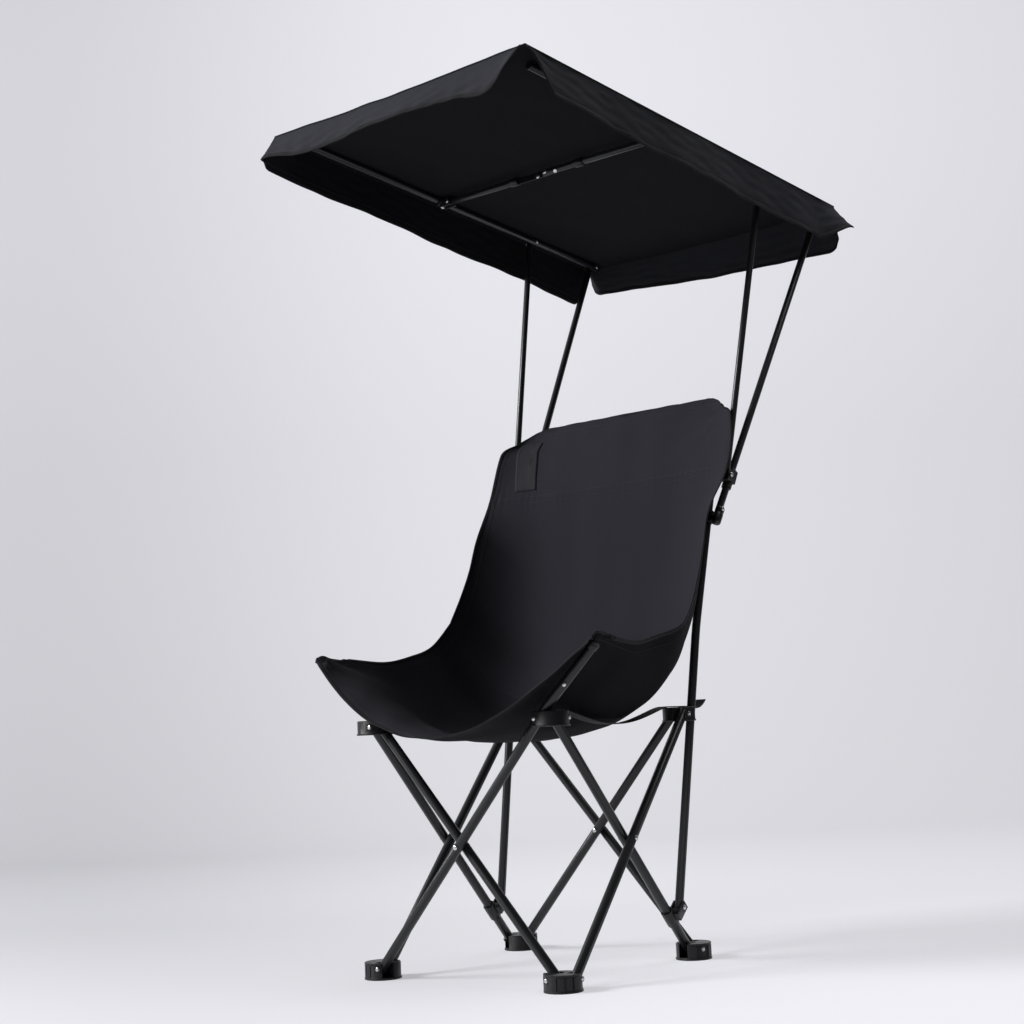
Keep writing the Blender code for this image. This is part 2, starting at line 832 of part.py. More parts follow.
def back_row(share):
    values = along_table(back_row_shares, share)
    middle_share, middle_front, side, edge_share, edge_front, power, carried = values
    seat_middle, seat_edge, seat_power = seat_row(0)
    height = seat_middle.z + (post_top_height - seat_middle.z) * middle_share
    edge_height = seat_edge.z + (post_top_height - seat_edge.z) * edge_share
    offset = post_radius / math.cos(math.radians(post_upper_lean)) + cloth_gap + cloth_thickness
    width = half_spacing * side
    bulge = (post_side(height) / width) ** power
    offset -= half_spacing * (edge_front - middle_front) * bulge * max(carried, 0)
    middle = Vector((0, post_back(height) - offset - half_spacing * middle_front, height))
    edge = Vector((width, post_back(edge_height) - offset - half_spacing * edge_front, edge_height))
    return middle, edge, power


def seat_row(share):
    back, height, side, edge_back, edge_height, power = along_table(seat_row_shares, share)
    tip = front_tip()
    middle = Vector((0, half_spacing * back, hub_pin_height * height))
    edge = Vector((tip.x * side, half_spacing * edge_back, tip.z * edge_height))
    return middle, edge, power


def sling_points(row, row_count, first_share):
    points = []
    for i in range(row_count):
        middle, edge, power = row(first_share + (1 - first_share) * i / (row_count - 1))
        for j in range(sling_column_count):
            across = 2 * j / (sling_column_count - 1) - 1
            across += across * (1 - across**2) / 4
            bulge = abs(across) ** power
            rise = (edge - middle) * bulge
            points.append(Vector((edge.x * across, middle.y + rise.y, middle.z + rise.z)))
    return points


def build_sling():
    seam_share = touch_gap * 2 / foot_spacing
    seam = seat_row(0)[0]
    for name, row, count, first_share in (
        ("sling_back", back_row, back_row_count, 0),
        ("sling_seat", seat_row, seat_row_count, seam_share),
    ):
        points = sling_points(row, count, first_share)
        mesh = thicken(points, grid_faces(count, sling_column_count), cloth_thickness)
        add_piece(name, mesh, fabric(name), seam)


# A point of the canopy's top: across runs from -1 to 1, and back from 0 at its front to 1.
def roof_point(across, back):
    y = roof_front + (roof_rear - roof_front) * back
    rail = rail_at(y)
    side = rail.x + roof_side_front + (roof_side_rear - roof_side_front) * back
    bar = (crossbar_back - roof_front) / (roof_rear - roof_front)
    slack = max(1 - (side * across / rail.x) ** 2, 0)
    sag = roof_sag * slack * ((back - bar) / max(bar, 1 - bar)) ** 2
    lift = (rail_radius + cloth_gap + cloth_thickness) / math.cos(rail_slope())
    return Vector((side * across, y, rail.z + lift - sag))


def flap_drop(back):
    drop = flap_drop_front + (flap_drop_rear - flap_drop_front) * back
    from_end = min(back, 1 - back) * (roof_rear - roof_front)
    if from_end < flap_corner:
        drop -= flap_corner - math.sqrt(flap_corner**2 - (flap_corner - from_end) ** 2)
    return drop


# The canopy: a taut roof with a hanging flap on every side, not joined at the corners.
def build_canopy():
    places = {}
    for i in range(roof_row_count + 1):
        for j in range(roof_column_count + 1):
            places[i, j] = roof_point(2 * j / roof_column_count - 1, i / roof_row_count)
    for k in range(1, flap_row_count + 1):
        share = k / flap_row_count
        for i in range(roof_row_count + 1):
            back = i / roof_row_count
            wave = flap_wave * math.sin(math.pi * flap_wave_count * back)
            out = side_axis * (flap_flare + wave) * share
            down = up_axis * flap_drop(back) * share
            places[i, roof_column_count + k] = roof_point(1, back) + out - down
            places[i, -k] = roof_point(-1, back) - out - down
        for j in range(roof_column_count + 1):
            across = 2 * j / roof_column_count - 1
            out = back_axis * (valance_flare + valance_wave * math.cos(math.tau * across)) * share
            places[-k, j] = roof_point(across, 0) - out - up_axis * front_valance_drop * share
            places[roof_row_count + k, j] = roof_point(across, 1) + out - up_axis * rear_valance_drop * share
    keys = sorted(places)
    index = {key: number for number, key in enumerate(keys)}
    faces = []
    for i, j in keys:
        cell = ((i, j), (i, j + 1), (i + 1, j + 1), (i + 1, j))
        if all(corner in index for corner in cell):
            faces.append([index[corner] for corner in cell])
    mesh = thicken([places[key] for key in keys], faces, cloth_thickness)
    add_piece("canopy_cloth", mesh, fabric("canopy_cloth"), rail_rear())


# A webbing strap over the hub tops of one side, slack between them, with a loose tail behind.
def build_strap(label, mirror):
    name = f"{label}_seat_strap"
    inner = half_spacing - strap_inset - strap_width / 2
    outer = inner + strap_width
    start = -half_spacing - inner_plane + leg_radius + cloth_gap
    end = half_spacing + flange_radius
    edge = half_spacing - flange_radius
    rings = []
    for i in range(strap_step_count + 1):
        y = start + (end + strap_tail - start) * i / strap_step_count
        low = hub_high + strap_rise
        if abs(y) < edge:
            low -= strap_dip * (1 - (y / edge) ** 2) ** 1.5
        if y > end:
            low += strap_tail_rise * math.sin(math.pi * (y - end) / strap_tail)
        high = low + strap_thickness
        corners = ((inner, low), (outer, low), (outer, high), (inner, high))
        rings.append([Vector((x, y, z)) for x, z in corners])
    add_piece(name, skin(rings), fabric(name), Vector((outer, half_spacing, hub_high)), mirror)


def build_part():
    clear_scene()
    build_feet()
    build_legs()
    build_hubs()
    for label, mirror in (("left", 1), ("right", -1)):
        build_post_bracket(label, mirror)
        build_post(label, mirror)
        build_mast_collar(label, mirror)
        build_mast(label, mirror)
        build_clip(label, mirror)
        build_strut(label, mirror)
        build_rail(label, mirror)
        build_rail_joint(label, mirror)
        build_crossbar(label, mirror)
        build_strap(label, mirror)
    build_sling()
    build_canopy()
    for shape in bpy.data.objects:
        shape.location.y -= (roof_front + roof_rear) / 2


build_part()
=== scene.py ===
# Dresses the folding chair: cloth, webbing, paint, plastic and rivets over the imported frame.
# Metres, +Z up, the sitter faces -Y and +X is the sitter's left.
import json
import math
import bmesh
import bpy
import numpy as np
from mathutils import Matrix, Vector

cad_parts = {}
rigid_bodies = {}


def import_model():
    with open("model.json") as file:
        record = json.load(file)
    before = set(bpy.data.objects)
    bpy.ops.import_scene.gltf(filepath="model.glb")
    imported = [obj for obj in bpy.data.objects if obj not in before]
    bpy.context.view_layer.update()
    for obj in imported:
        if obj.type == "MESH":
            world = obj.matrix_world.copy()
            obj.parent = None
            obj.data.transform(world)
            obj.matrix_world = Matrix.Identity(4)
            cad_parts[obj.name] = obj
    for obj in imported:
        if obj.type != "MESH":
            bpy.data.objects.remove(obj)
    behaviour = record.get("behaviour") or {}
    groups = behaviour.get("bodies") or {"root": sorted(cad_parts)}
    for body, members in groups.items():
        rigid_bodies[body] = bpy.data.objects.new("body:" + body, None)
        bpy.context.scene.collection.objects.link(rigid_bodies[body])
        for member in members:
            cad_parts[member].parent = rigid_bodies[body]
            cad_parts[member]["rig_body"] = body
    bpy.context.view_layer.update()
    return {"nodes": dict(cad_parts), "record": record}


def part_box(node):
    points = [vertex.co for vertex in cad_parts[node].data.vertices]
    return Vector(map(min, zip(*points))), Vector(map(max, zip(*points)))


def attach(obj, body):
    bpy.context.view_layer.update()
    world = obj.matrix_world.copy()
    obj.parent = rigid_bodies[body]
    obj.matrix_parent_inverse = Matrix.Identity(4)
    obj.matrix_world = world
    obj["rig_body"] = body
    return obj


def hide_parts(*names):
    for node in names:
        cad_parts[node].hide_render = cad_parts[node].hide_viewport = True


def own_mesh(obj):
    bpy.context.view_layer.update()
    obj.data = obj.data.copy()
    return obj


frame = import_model()
nodes = frame["nodes"]
print("frame loaded:", len(nodes), "solids")

# The whole chair is placed from these, all shared by several pieces.
chair = {
    "back": 0.1955,           # the origin lies this far behind the middle of the feet
    "half": 0.185,            # half the spacing of the feet and hubs
    "hubTop": 0.4215,
    "seatHeight": 0.410,
    "postTop": 0.966,
    "tubeTip": (0.2853, 0.5181),  # the front tubes' ends, seen from the front
}
post = {"pin": (0.1907, 0.1390, 0.0898), "lean": 10.61, "upperLean": 15.4, "bend": 0.560,
        "splay": 1.43, "radius": 0.0075}
rail = {"rear": (0.2659, 0.6550, 1.3950), "front": (0.2470, -0.2400, 1.4325), "radius": 0.0065}
bothSides = (("left", 1), ("right", -1))


# Mesh helpers

def toWorld(points):
    # moves points from the middle of the feet to the frame's origin
    return np.asarray(points, float) - np.array([0, chair["back"], 0])


def pointsFrom(x, y, z):
    # one array of points from coordinates that broadcast together
    return np.stack(np.broadcast_arrays(x, y, z), axis=-1)


def unit(vectors):
    return vectors / np.maximum(np.linalg.norm(vectors, axis=-1, keepdims=True), 1e-12)


def turnMatrix(turn):
    # turns a point about Z
    return np.array([[math.cos(turn), -math.sin(turn), 0], [math.sin(turn), math.cos(turn), 0], [0, 0, 1]])


def newPiece(name, verts, faces, material, smooth=True, uv=None):
    mesh = bpy.data.meshes.new(name)
    mesh.from_pydata(np.asarray(verts, float).tolist(), [], faces)
    if uv is not None:
        layer = mesh.uv_layers.new(name="clothMap")
        loops = np.zeros(len(mesh.loops), np.int64)
        mesh.loops.foreach_get("vertex_index", loops)
        layer.data.foreach_set("uv", np.asarray(uv, np.float32)[loops].ravel())
    mesh.polygons.foreach_set("use_smooth", np.full(len(mesh.polygons), smooth))
    mesh.update()
    piece = bpy.data.objects.new(name, mesh)
    bpy.context.scene.collection.objects.link(piece)
    mesh.materials.append(material)
    return piece


def carried(piece, node, stoodFor=None):
    # the piece moves with the node's body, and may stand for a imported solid
    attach(piece, nodes[node]["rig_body"])
    if stoodFor:
        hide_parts(stoodFor)
    return piece


def softened(piece, width, segments, angle=30):
    bevel = piece.modifiers.new("softEdges", "BEVEL")
    bevel.width = width
    bevel.segments = segments
    bevel.limit_method = "ANGLE"
    bevel.angle_limit = math.radians(angle)
    bevel.harden_normals = True


def gridFaces(rows, columns, closed=False):
    # quads between neighbouring rows; a closed grid also joins its last column to its first
    index = np.arange(rows * columns).reshape(rows, columns)
    after = np.roll(index, -1, axis=1) if closed else index[:, 1:]
    here = index if closed else index[:, :-1]
    quads = np.stack([here[:-1], after[:-1], after[1:], here[1:]], axis=-1)
    return quads.reshape(-1, 4).tolist()


def ringFaces(rings, sides):
    # the quads between closed rings, with the first and the last ring filled
    faces = gridFaces(rings, sides, closed=True)
    last = (rings - 1) * sides
    return faces + [list(range(sides))[::-1], list(range(last, last + sides))]


def gridNormals(points):
    # the cross product of the slopes along both directions of the grid
    return unit(np.cross(np.gradient(points, axis=1), np.gradient(points, axis=0)))


def gridLengths(points):
    # arc lengths in metres along both directions, from the grid's middle, for cloth maps
    across = np.linalg.norm(np.diff(points, axis=1), axis=-1)
    along = np.linalg.norm(np.diff(points, axis=0), axis=-1)
    u = np.concatenate([np.zeros((points.shape[0], 1)), np.cumsum(across, axis=1)], axis=1)
    v = np.concatenate([np.zeros((1, points.shape[1])), np.cumsum(along, axis=0)], axis=0)
    u -= u[:, [u.shape[1] // 2]]
    return np.stack([u, v], axis=-1).reshape(-1, 2)


def clothPiece(name, points, material, thickness, otherFace=None):
    # an open grid of cloth, thickened on both sides of its middle surface; the other face may take a second
    # material, so that one face can carry a darker copy of the cloth as painted shade
    rows, columns = points.shape[:2]
    piece = newPiece(name, points.reshape(-1, 3), gridFaces(rows, columns), material, uv=gridLengths(points))
    solid = piece.modifiers.new("thickness", "SOLIDIFY")
    solid.thickness = thickness
    solid.offset = 0
    if otherFace:
        piece.data.materials.append(otherFace)
        solid.material_offset = 1
    return piece


def pathFrames(path):
    # two unit directions square to the path at each of its points, turned as little as possible
    along = unit(np.gradient(path, axis=0))
    beside = np.zeros_like(along)
    side = np.cross(along[0], spareAxis(along[0]))
    for i, direction in enumerate(along):
        side = unit(side - direction * side.dot(direction))
        beside[i] = side
    return beside, np.cross(along, beside)


def spareAxis(direction):
    # an axis well away from the direction
    return np.array([0, 0, 1.0]) if abs(direction[2]) < 0.8 else np.array([1.0, 0, 0])


def sweptPiece(name, path, material, wide, high, sides, beside=None, above=None, power=1.0):
    # a closed tube or band along a path: cosine across and sine up, made boxier by a power below 1
    if beside is None:
        beside, above = pathFrames(path)
    angle = np.arange(sides) * math.tau / sides
    across, up = (np.sign(wave) * np.abs(wave) ** power for wave in (np.cos(angle), np.sin(angle)))
    breadth, depth = (np.broadcast_to(size, len(path))[:, None, None] for size in (wide, high))
    rings = (path[:, None] + across[None, :, None] * breadth * beside[:, None]
             + up[None, :, None] * depth * above[:, None])
    length = np.concatenate([[0], np.cumsum(np.linalg.norm(np.diff(path, axis=0), axis=1))])
    girth = np.arange(sides) / sides * math.tau * np.max(wide)
    uv = np.stack(np.meshgrid(girth, length), axis=-1).reshape(-1, 2)
    return closedPiece(name, rings.reshape(-1, 3), ringFaces(len(path), sides), material, uv=uv)


def closedPiece(*details, **more):
    # a piece whose faces are turned to point outwards
    piece = newPiece(*details, **more)
    data = bmesh.new()
    data.from_mesh(piece.data)
    bmesh.ops.recalc_face_normals(data, faces=data.faces)
    data.to_mesh(piece.data)
    data.free()
    return piece


def stitchPiece(name, path, normal):
    # thread stitches along a path: each is a short four-sided spindle lying on the cloth
    steps = np.linalg.norm(np.diff(path, axis=0), axis=1)
    length = np.concatenate([[0], np.cumsum(steps)])
    count = int(length[-1] / stitch["pitch"])
    middle = (np.arange(count) + 0.5) * stitch["pitch"]
    at = lambda values, places: np.stack([np.interp(places, length, values[:, k]) for k in range(3)], axis=-1)
    centre = at(path, middle)
    along = unit(at(path, middle + stitch["pitch"] / 4) - at(path, middle - stitch["pitch"] / 4))
    up = at(normal, middle)
    side = np.cross(along, up)
    places = np.array([-0.5, -0.32, 0.32, 0.5]) * stitch["length"]
    sizes = np.array([0.25, 1.0, 1.0, 0.25]) * stitch["radius"]
    ring = np.array([[1, 0], [0, 1], [-1, 0], [0, -1]], float)
    points = (centre[:, None, None] + along[:, None, None] * places[None, :, None, None]
              + side[:, None, None] * (ring[None, None, :, :1] * sizes[None, :, None, None])
              + up[:, None, None] * (ring[None, None, :, 1:] * sizes[None, :, None, None] * 0.8))
    faces = [[n * 16 + k for k in face] for n in range(count) for face in ringFaces(4, 4)]
    return closedPiece(name, points.reshape(-1, 3), faces, sewingThread)


def curveThrough(table, shares):
    # a smooth curve through the rows of a table, for an array of shares from 0 to 1
    table = np.asarray(table, float)
    place = np.clip(shares, 0, 1) * (len(table) - 1)
    i = np.minimum(place.astype(int), len(table) - 2)
    t = (place - i)[:, None]
    a, b = table[np.maximum(i - 1, 0)], table[i]
    c, d = table[i + 1], table[np.minimum(i + 2, len(table) - 1)]
    return (2 * b + (c - a) * t + (2 * a - 5 * b + 4 * c - d) * t**2 + (3 * b - a - 3 * c + d) * t**3) / 2


# Shared shader groups

def shaderGroup(name, inputs, outputs):
    group = bpy.data.node_groups.new(name, "ShaderNodeTree")
    for label in inputs:
        kind = "NodeSocketVector" if label == "Map" else "NodeSocketFloat"
        group.interface.new_socket(label, in_out="INPUT", socket_type=kind)
    for label in outputs:
        group.interface.new_socket(label, in_out="OUTPUT", socket_type="NodeSocketFloat")
    return group, group.nodes.new("NodeGroupInput"), group.nodes.new("NodeGroupOutput")


def wired(tree, node, inputs):
    # sets each input to its value, or links it from another node's output
    for label, value in inputs.items():
        if isinstance(value, bpy.types.NodeSocket):
            tree.links.new(value, node.inputs[label])
        else:
            node.inputs[label].default_value = value
    return node


def addNode(tree, kind, inputs):
    return wired(tree, tree.nodes.new("ShaderNode" + kind), inputs)


def mathNode(tree, operation, *values):
    node = addNode(tree, "Math", dict(enumerate(values)))
    node.operation = operation
    return node.outputs[0]


def makeWeaveGroup():
    # plain weave: warp and weft threads are rounded ridges that pass over each other in turn
    group, start, end = shaderGroup("clothWeave", ("Map", "Threads", "Slub"), ("Height", "Shade"))
    split = addNode(group, "SeparateXYZ", {0: start.outputs["Map"]})
    waves = []
    for axis in (0, 1):
        turns = mathNode(group, "MULTIPLY", split.outputs[axis], start.outputs["Threads"])
        waves.append(mathNode(group, "SINE", mathNode(group, "MULTIPLY", turns, math.pi)))
    over = mathNode(group, "GREATER_THAN", mathNode(group, "MULTIPLY", *waves), 0.0)
    warp, weft = (mathNode(group, "ABSOLUTE", wave) for wave in waves)
    under = mathNode(group, "SUBTRACT", 1.0, over)
    mixed = mathNode(group, "ADD", mathNode(group, "MULTIPLY", warp, over),
                     mathNode(group, "MULTIPLY", weft, under))
    stretch = addNode(group, "Mapping", {"Scale": (420, 22, 1), "Vector": start.outputs["Map"]})
    slub = addNode(group, "TexNoise", {"Detail": 3, "Vector": stretch.outputs[0]})
    centred = mathNode(group, "SUBTRACT", slub.outputs[0], 0.5)
    shade = mathNode(group, "MULTIPLY_ADD", centred, start.outputs["Slub"], 1.0)
    wired(group, end, {"Height": mixed, "Shade": shade})
    return group


def makeGrainGroup():
    # fine orange-peel or moulded grain, with a slower unevenness of the finish
    group, start, end = shaderGroup("finishGrain", ("Grain", "Patches", "Spread", "Roughness"),
                                    ("Height", "Roughness", "Shade"))
    place = addNode(group, "TexCoord", {}).outputs["Object"]
    grain = addNode(group, "TexNoise", {"Vector": place, "Scale": start.outputs["Grain"]})
    patches = addNode(group, "TexNoise", {"Vector": place, "Scale": start.outputs["Patches"], "Detail": 4})
    uneven = mathNode(group, "SUBTRACT", patches.outputs[0], 0.5)
    rough = mathNode(group, "MULTIPLY_ADD", uneven, start.outputs["Spread"], start.outputs["Roughness"])
    shade = mathNode(group, "MULTIPLY_ADD", uneven, 0.35, 1.0)
    wired(group, end, {"Height": grain.outputs[0], "Roughness": rough, "Shade": shade})
    return group


weaveGroup = makeWeaveGroup()
grainGroup = makeGrainGroup()


def newMaterial(name, colour, settings):
    material = bpy.data.materials.new(name)
    material.use_nodes = True
    tree = material.node_tree
    shader = wired(tree, tree.nodes["Principled BSDF"], {"Base Color": (*colour, 1), **settings})
    material.diffuse_color = (*colour, 1)
    return material, tree, shader


def shadeAndBump(tree, shader, colour, pattern, distance, strength):
    # a pattern group darkens or lightens the colour and raises the surface
    mix = tree.nodes.new("ShaderNodeMix")
    mix.data_type = "RGBA"
    mix.blend_type = "MULTIPLY"
    wired(tree, mix, {"Factor": 1, "A": (*colour, 1), "B": pattern.outputs["Shade"]})
    bump = addNode(tree, "Bump", {"Strength": strength, "Distance": distance,
                                  "Height": pattern.outputs["Height"]})
    wired(tree, shader, {"Base Color": mix.outputs["Result"], "Normal": bump.outputs[0]})


def clothMaterial(name, finish):
    material, tree, shader = newMaterial(name, finish["colour"], {
        "Roughness": finish["roughness"], "Sheen Weight": finish["sheen"],
        "Sheen Roughness": finish["sheenRoughness"], "Sheen Tint": (*finish["sheenTint"], 1),
        "Specular IOR Level": finish["specular"]})
    weave = tree.nodes.new("ShaderNodeGroup")
    weave.node_tree = weaveGroup
    uvMap = addNode(tree, "UVMap", {})
    uvMap.uv_map = "clothMap"
    wired(tree, weave, {"Threads": finish["threads"], "Slub": finish["slub"], "Map": uvMap.outputs[0]})
    shadeAndBump(tree, shader, finish["colour"], weave, finish["relief"], 0.6)
    return material


def hardMaterial(name, finish):
    material, tree, shader = newMaterial(name, finish["colour"], {
        "Metallic": finish["metallic"], "Specular IOR Level": finish["specular"]})
    grain = tree.nodes.new("ShaderNodeGroup")
    grain.node_tree = grainGroup
    wired(tree, grain, {key.title(): finish[key] for key in ("grain", "patches", "spread", "roughness")})
    wired(tree, shader, {"Roughness": grain.outputs["Roughness"]})
    shadeAndBump(tree, shader, finish["colour"], grain, finish["relief"], 0.5)
    return material


# the finishes of the cloths and of the hard parts: each row gives the keys' values in turn
clothKeys = ("colour", "roughness", "sheen", "sheenRoughness", "sheenTint", "specular",
             "threads", "slub", "relief")
coolTint, paleTint = (0.75, 0.78, 0.9), (0.8, 0.82, 0.9)
clothFinishes = {
    "slingCloth": ((0.0175, 0.0170, 0.0235), 0.85, 0.03, 0.45, coolTint, 0.18, 850.0, 0.55, 0.0004),
    # a darker copy of the sling cloth: painted shade for the sheets' outer faces and the post pockets
    "slingPaintedShade": ((0.0098, 0.0097, 0.0112), 0.9, 0.01, 0.45, coolTint, 0.10, 850.0, 0.55, 0.0004),
    "patchCloth": ((0.0215, 0.0213, 0.0260), 0.8, 0.03, 0.45, coolTint, 0.2, 600.0, 0.4, 0.0004),
    "canopyCloth": ((0.0275, 0.0278, 0.0345), 0.80, 0.03, 0.4, paleTint, 0.12, 1100.0, 0.4, 0.0003),
    # a darker copy of the canopy cloth: painted shade for the faces turned away from the light
    "canopyPaintedShade": ((0.0135, 0.0135, 0.0160), 0.88, 0.0, 0.4, paleTint, 0.06, 1100.0, 0.4, 0.0003),
    "edgeTape": ((0.0072, 0.0072, 0.0092), 0.75, 0.01, 0.4, paleTint, 0.2, 1300.0, 0.3, 0.0003),
    "webbing": ((0.0075, 0.0075, 0.0090), 0.75, 0.02, 0.4, paleTint, 0.25, 480.0, 0.5, 0.0006),
    "sewingThread": ((0.0160, 0.0160, 0.0200), 0.6, 0.05, 0.4, paleTint, 0.5, 2000.0, 0.2, 0.0001),
}
hardKeys = ("colour", "metallic", "specular", "roughness", "grain", "patches", "spread", "relief")
hardFinishes = {
    "graphitePaint": ((0.0215, 0.0220, 0.0240), 0.25, 0.45, 0.33, 1500.0, 9.0, 0.10, 0.00006),
    "blackPlastic": ((0.0060, 0.0060, 0.0067), 0.0, 0.4, 0.42, 2200.0, 30.0, 0.14, 0.00010),
    "rivetSteel": ((0.62, 0.62, 0.63), 1.0, 0.5, 0.28, 2600.0, 60.0, 0.12, 0.00005),
}
slingCloth, slingPaintedShade, patchCloth, canopyCloth, canopyPaintedShade, edgeTape, webbing, sewingThread = (
    clothMaterial(name, dict(zip(clothKeys, row))) for name, row in clothFinishes.items())
graphitePaint, blackPlastic, rivetSteel = (
    hardMaterial(name, dict(zip(hardKeys, row))) for name, row in hardFinishes.items())
print("materials ready")


# Carried-over solids: a merged, softly bevelled copy stands for each tube and moulding

finishOf = {"graphite_paint": graphitePaint, "black_plastic": blackPlastic}
softEdges = {"graphite_paint": 0.0002, "black_plastic": 0.0007, "segments": 2, "smoothAngle": 40}


def refinedCopy(name, slotName):
    # a merged copy of the solid whose edges catch the light as rounded ones do
    mesh = nodes[name].data.copy()
    mesh.name = name + "Refined"
    data = bmesh.new()
    data.from_mesh(mesh)
    bmesh.ops.remove_doubles(data, verts=data.verts, dist=0.00002)
    bmesh.ops.dissolve_limit(data, angle_limit=math.radians(0.5), verts=data.verts, edges=data.edges)
    data.to_mesh(mesh)
    data.free()
    mesh.materials.clear()
    mesh.materials.append(finishOf[slotName])
    mesh.shade_smooth()
    piece = bpy.data.objects.new(name + "Refined", mesh)
    bpy.context.scene.collection.objects.link(piece)
    softened(piece, softEdges[slotName], softEdges["segments"], softEdges["smoothAngle"])
    carried(piece, name, name)


for entry in frame["record"]["subparts"]:
    if entry["material_slot"] in softEdges:
        refinedCopy(entry["node"], entry["material_slot"])
print("tubes and mouldings refined")


# Rivets: domed heads on a plain shank

rivet = {"headRadius": 0.0042, "dome": 0.0017, "shank": 0.0025, "sides": 28, "rim": 0.0012,
         "sunk": 0.0006, "sunkShare": 0.96}
rivetAxis = {"front_crossing_rivet": 1, "rear_crossing_rivet": 1, "crossbar_rivet": 1}


def turnedPiece(name, centre, direction, outline, material):
    # an outline of (distance, radius) pairs turned about a direction; radius 0 closes an end
    direction = np.asarray(direction, float)
    across = unit(np.cross(direction, spareAxis(direction)))
    beside = np.cross(direction, across)
    sides = rivet["sides"]
    angle = np.arange(sides) * math.tau / sides
    spoke = np.cos(angle)[:, None] * across + np.sin(angle)[:, None] * beside
    outline = np.asarray(outline, float)
    rings = (np.asarray(centre)[None, None] + outline[:, None, :1] * direction[None, None]
             + outline[:, None, 1:] * spoke[None])
    return closedPiece(name, rings.reshape(-1, 3), ringFaces(len(outline), sides), material)


def domeOutline(base):
    # a quarter ellipse from the head's rim up to a small flat at its crown
    turn = np.linspace(0, math.radians(78), 8)
    return [(base + rivet["dome"] * math.sin(t), rivet["headRadius"] * math.cos(t)) for t in turn]


def rivetHead(name, centre, direction, node):
    # one visible head of a moulded-in or hidden rivet, seated on the surface at its centre
    base = [(-rivet["sunk"], rivet["headRadius"] * rivet["sunkShare"])]
    piece = turnedPiece(name, centre, direction, base + domeOutline(0.0), rivetSteel)
    carried(piece, node)


def fullRivet(node):
    # head, shank and head between the ends of the solid rivet
    low, high = (np.array(corner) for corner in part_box(node))
    axis = rivetAxis.get(node, 0)
    centre = (low + high) / 2
    half = (high - low)[axis] / 2
    direction = np.eye(3)[axis]
    rim = half - rivet["rim"]
    front = [(-z, r) for z, r in domeOutline(rim)][::-1]
    outline = front + [(-rim, rivet["shank"]), (rim, rivet["shank"])] + domeOutline(rim)
    piece = turnedPiece(node + "Domed", centre, direction, outline, rivetSteel)
    carried(piece, node, node)


for entry in frame["record"]["subparts"]:
    if entry["material_slot"] == "rivet_steel":
        fullRivet(entry["node"])

cornerPins = {"inset": 0.012, "rim": 0.0270, "heights": {"foot": 0.018, "hub": 0.410}}
cornerNames = ("front_right", "front_left", "rear_left", "rear_right")


def cornerRivets():
    # two heads on the outer rim of each foot and hub, where the fixed pins come through
    inset, rim = cornerPins["inset"] - chair["half"], -cornerPins["rim"] - chair["half"]
    for corner, label in enumerate(cornerNames):
        spin = turnMatrix(math.radians(90) * corner)
        for kind, height in cornerPins["heights"].items():
            for n, (place, out) in enumerate((((inset, rim), (0, -1.0, 0)), ((rim, inset), (-1.0, 0, 0)))):
                centre = toWorld(spin @ np.array((*place, height)))
                rivetHead(f"{label}_{kind}_head{n + 1}", centre, spin @ np.array(out), f"{label}_{kind}")


cornerRivets()

# Heads of the pins that the joint pieces carry: piece, place and direction, mirrored for the right side
pinHeads = (
    ("rail_joint", (0.2338, 0.1187, 1.4130), (0, -1, 0)),
    ("rail_joint", (0.2548, 0.1300, 1.4068), (0, -0.3, -1)),
    ("strut_clip", (0.2526, 0.2977, 0.8299), (1, 0, 0)),
    ("mast", (0.2399, 0.2814, 0.7682), (1, 0, 0)),
)
# and those that one piece alone carries
tongueHeads = (
    ("left_crossbar_tongue", (0.0230, 0.1248, 1.4091), (0, -0.8, -0.6)),
    ("right_crossbar_tongue", (-0.0210, 0.1300, 1.4110), (0, -1, 0)),
    ("front_leg_to_left", (0.2300, -0.2070, 0.4600), (0, -1, 0)),
    ("front_leg_to_right", (-0.2300, -0.1904, 0.4600), (0, -1, 0)),
)


def jointRivets():
    heads = [(f"{side}PinHead{number + 1}", f"{side}_{kind}", way, place, direction)
             for number, (kind, place, direction) in enumerate(pinHeads) for side, way in bothSides]
    heads += [(f"barHead{number + 1}", node, 1, place, direction)
              for number, (node, place, direction) in enumerate(tongueHeads)]
    for name, node, way, place, direction in heads:
        mirror = np.array([way, 1, 1])
        rivetHead(name, toWorld(np.array(place) * mirror), unit(np.array(direction, float) * mirror), node)


jointRivets()
print("rivets placed")


# Moulded trims: rims and pads on the feet, blocks on the struts' clips and eyes, ends of masts and tubes

# bars bent round a foot: a rim from one turn to another and five pads, by radii and heights
footTrim = {"steps": 14, "rim": (106, 304, 0.0288, 0.0303, 0.0240, 0.0272),
            "pad": (0.0290, 0.0301, 0.0042, 0.0232),
            "padTurns": (124, 187, 211, 235, 259), "padWidth": 18, "softEdge": 0.0003}
fitting = {
    "clipBlock": ((-0.0094, -0.0094, -0.0135), (0.0094, 0.0105, 0.0135)),
    "strutEye": ((-0.0066, -0.0068, -0.0098), (0.0088, 0.0068, 0.0105)),
    "clipCentre": (0.235032, 0.320555, 0.830710), "eyeCentre": (0.241384, 0.297736, 0.829870),
    "mastFoot": (0.229156, 0.276866, 0.757), "mastTop": (0.28, 0.655, 1.395),
    "strutTop": (0.274828, 0.433743, 1.404271), "blockBevel": 0.0016,
    "barrel": ((-0.0175, 0.0062), (-0.0163, 0.0080), (-0.0140, 0.0088), (0.0030, 0.0088), (0.0042, 0.0080)),
    "ring": ((0.0072, 0.0076), (0.0080, 0.0084), (0.0150, 0.0084), (0.0158, 0.0076)), "outwards": 0.0022,
    "tipCap": ((-0.0090, 0.0083), (-0.0085, 0.0087), (0.0006, 0.0087), (0.0014, 0.0078), (0.0016, 0.0040)),
    "tipLean": 43.1, "leftTip": (0.2853, -0.1990, 0.5181), "rightTip": (-0.2853, -0.1824, 0.5181),
}


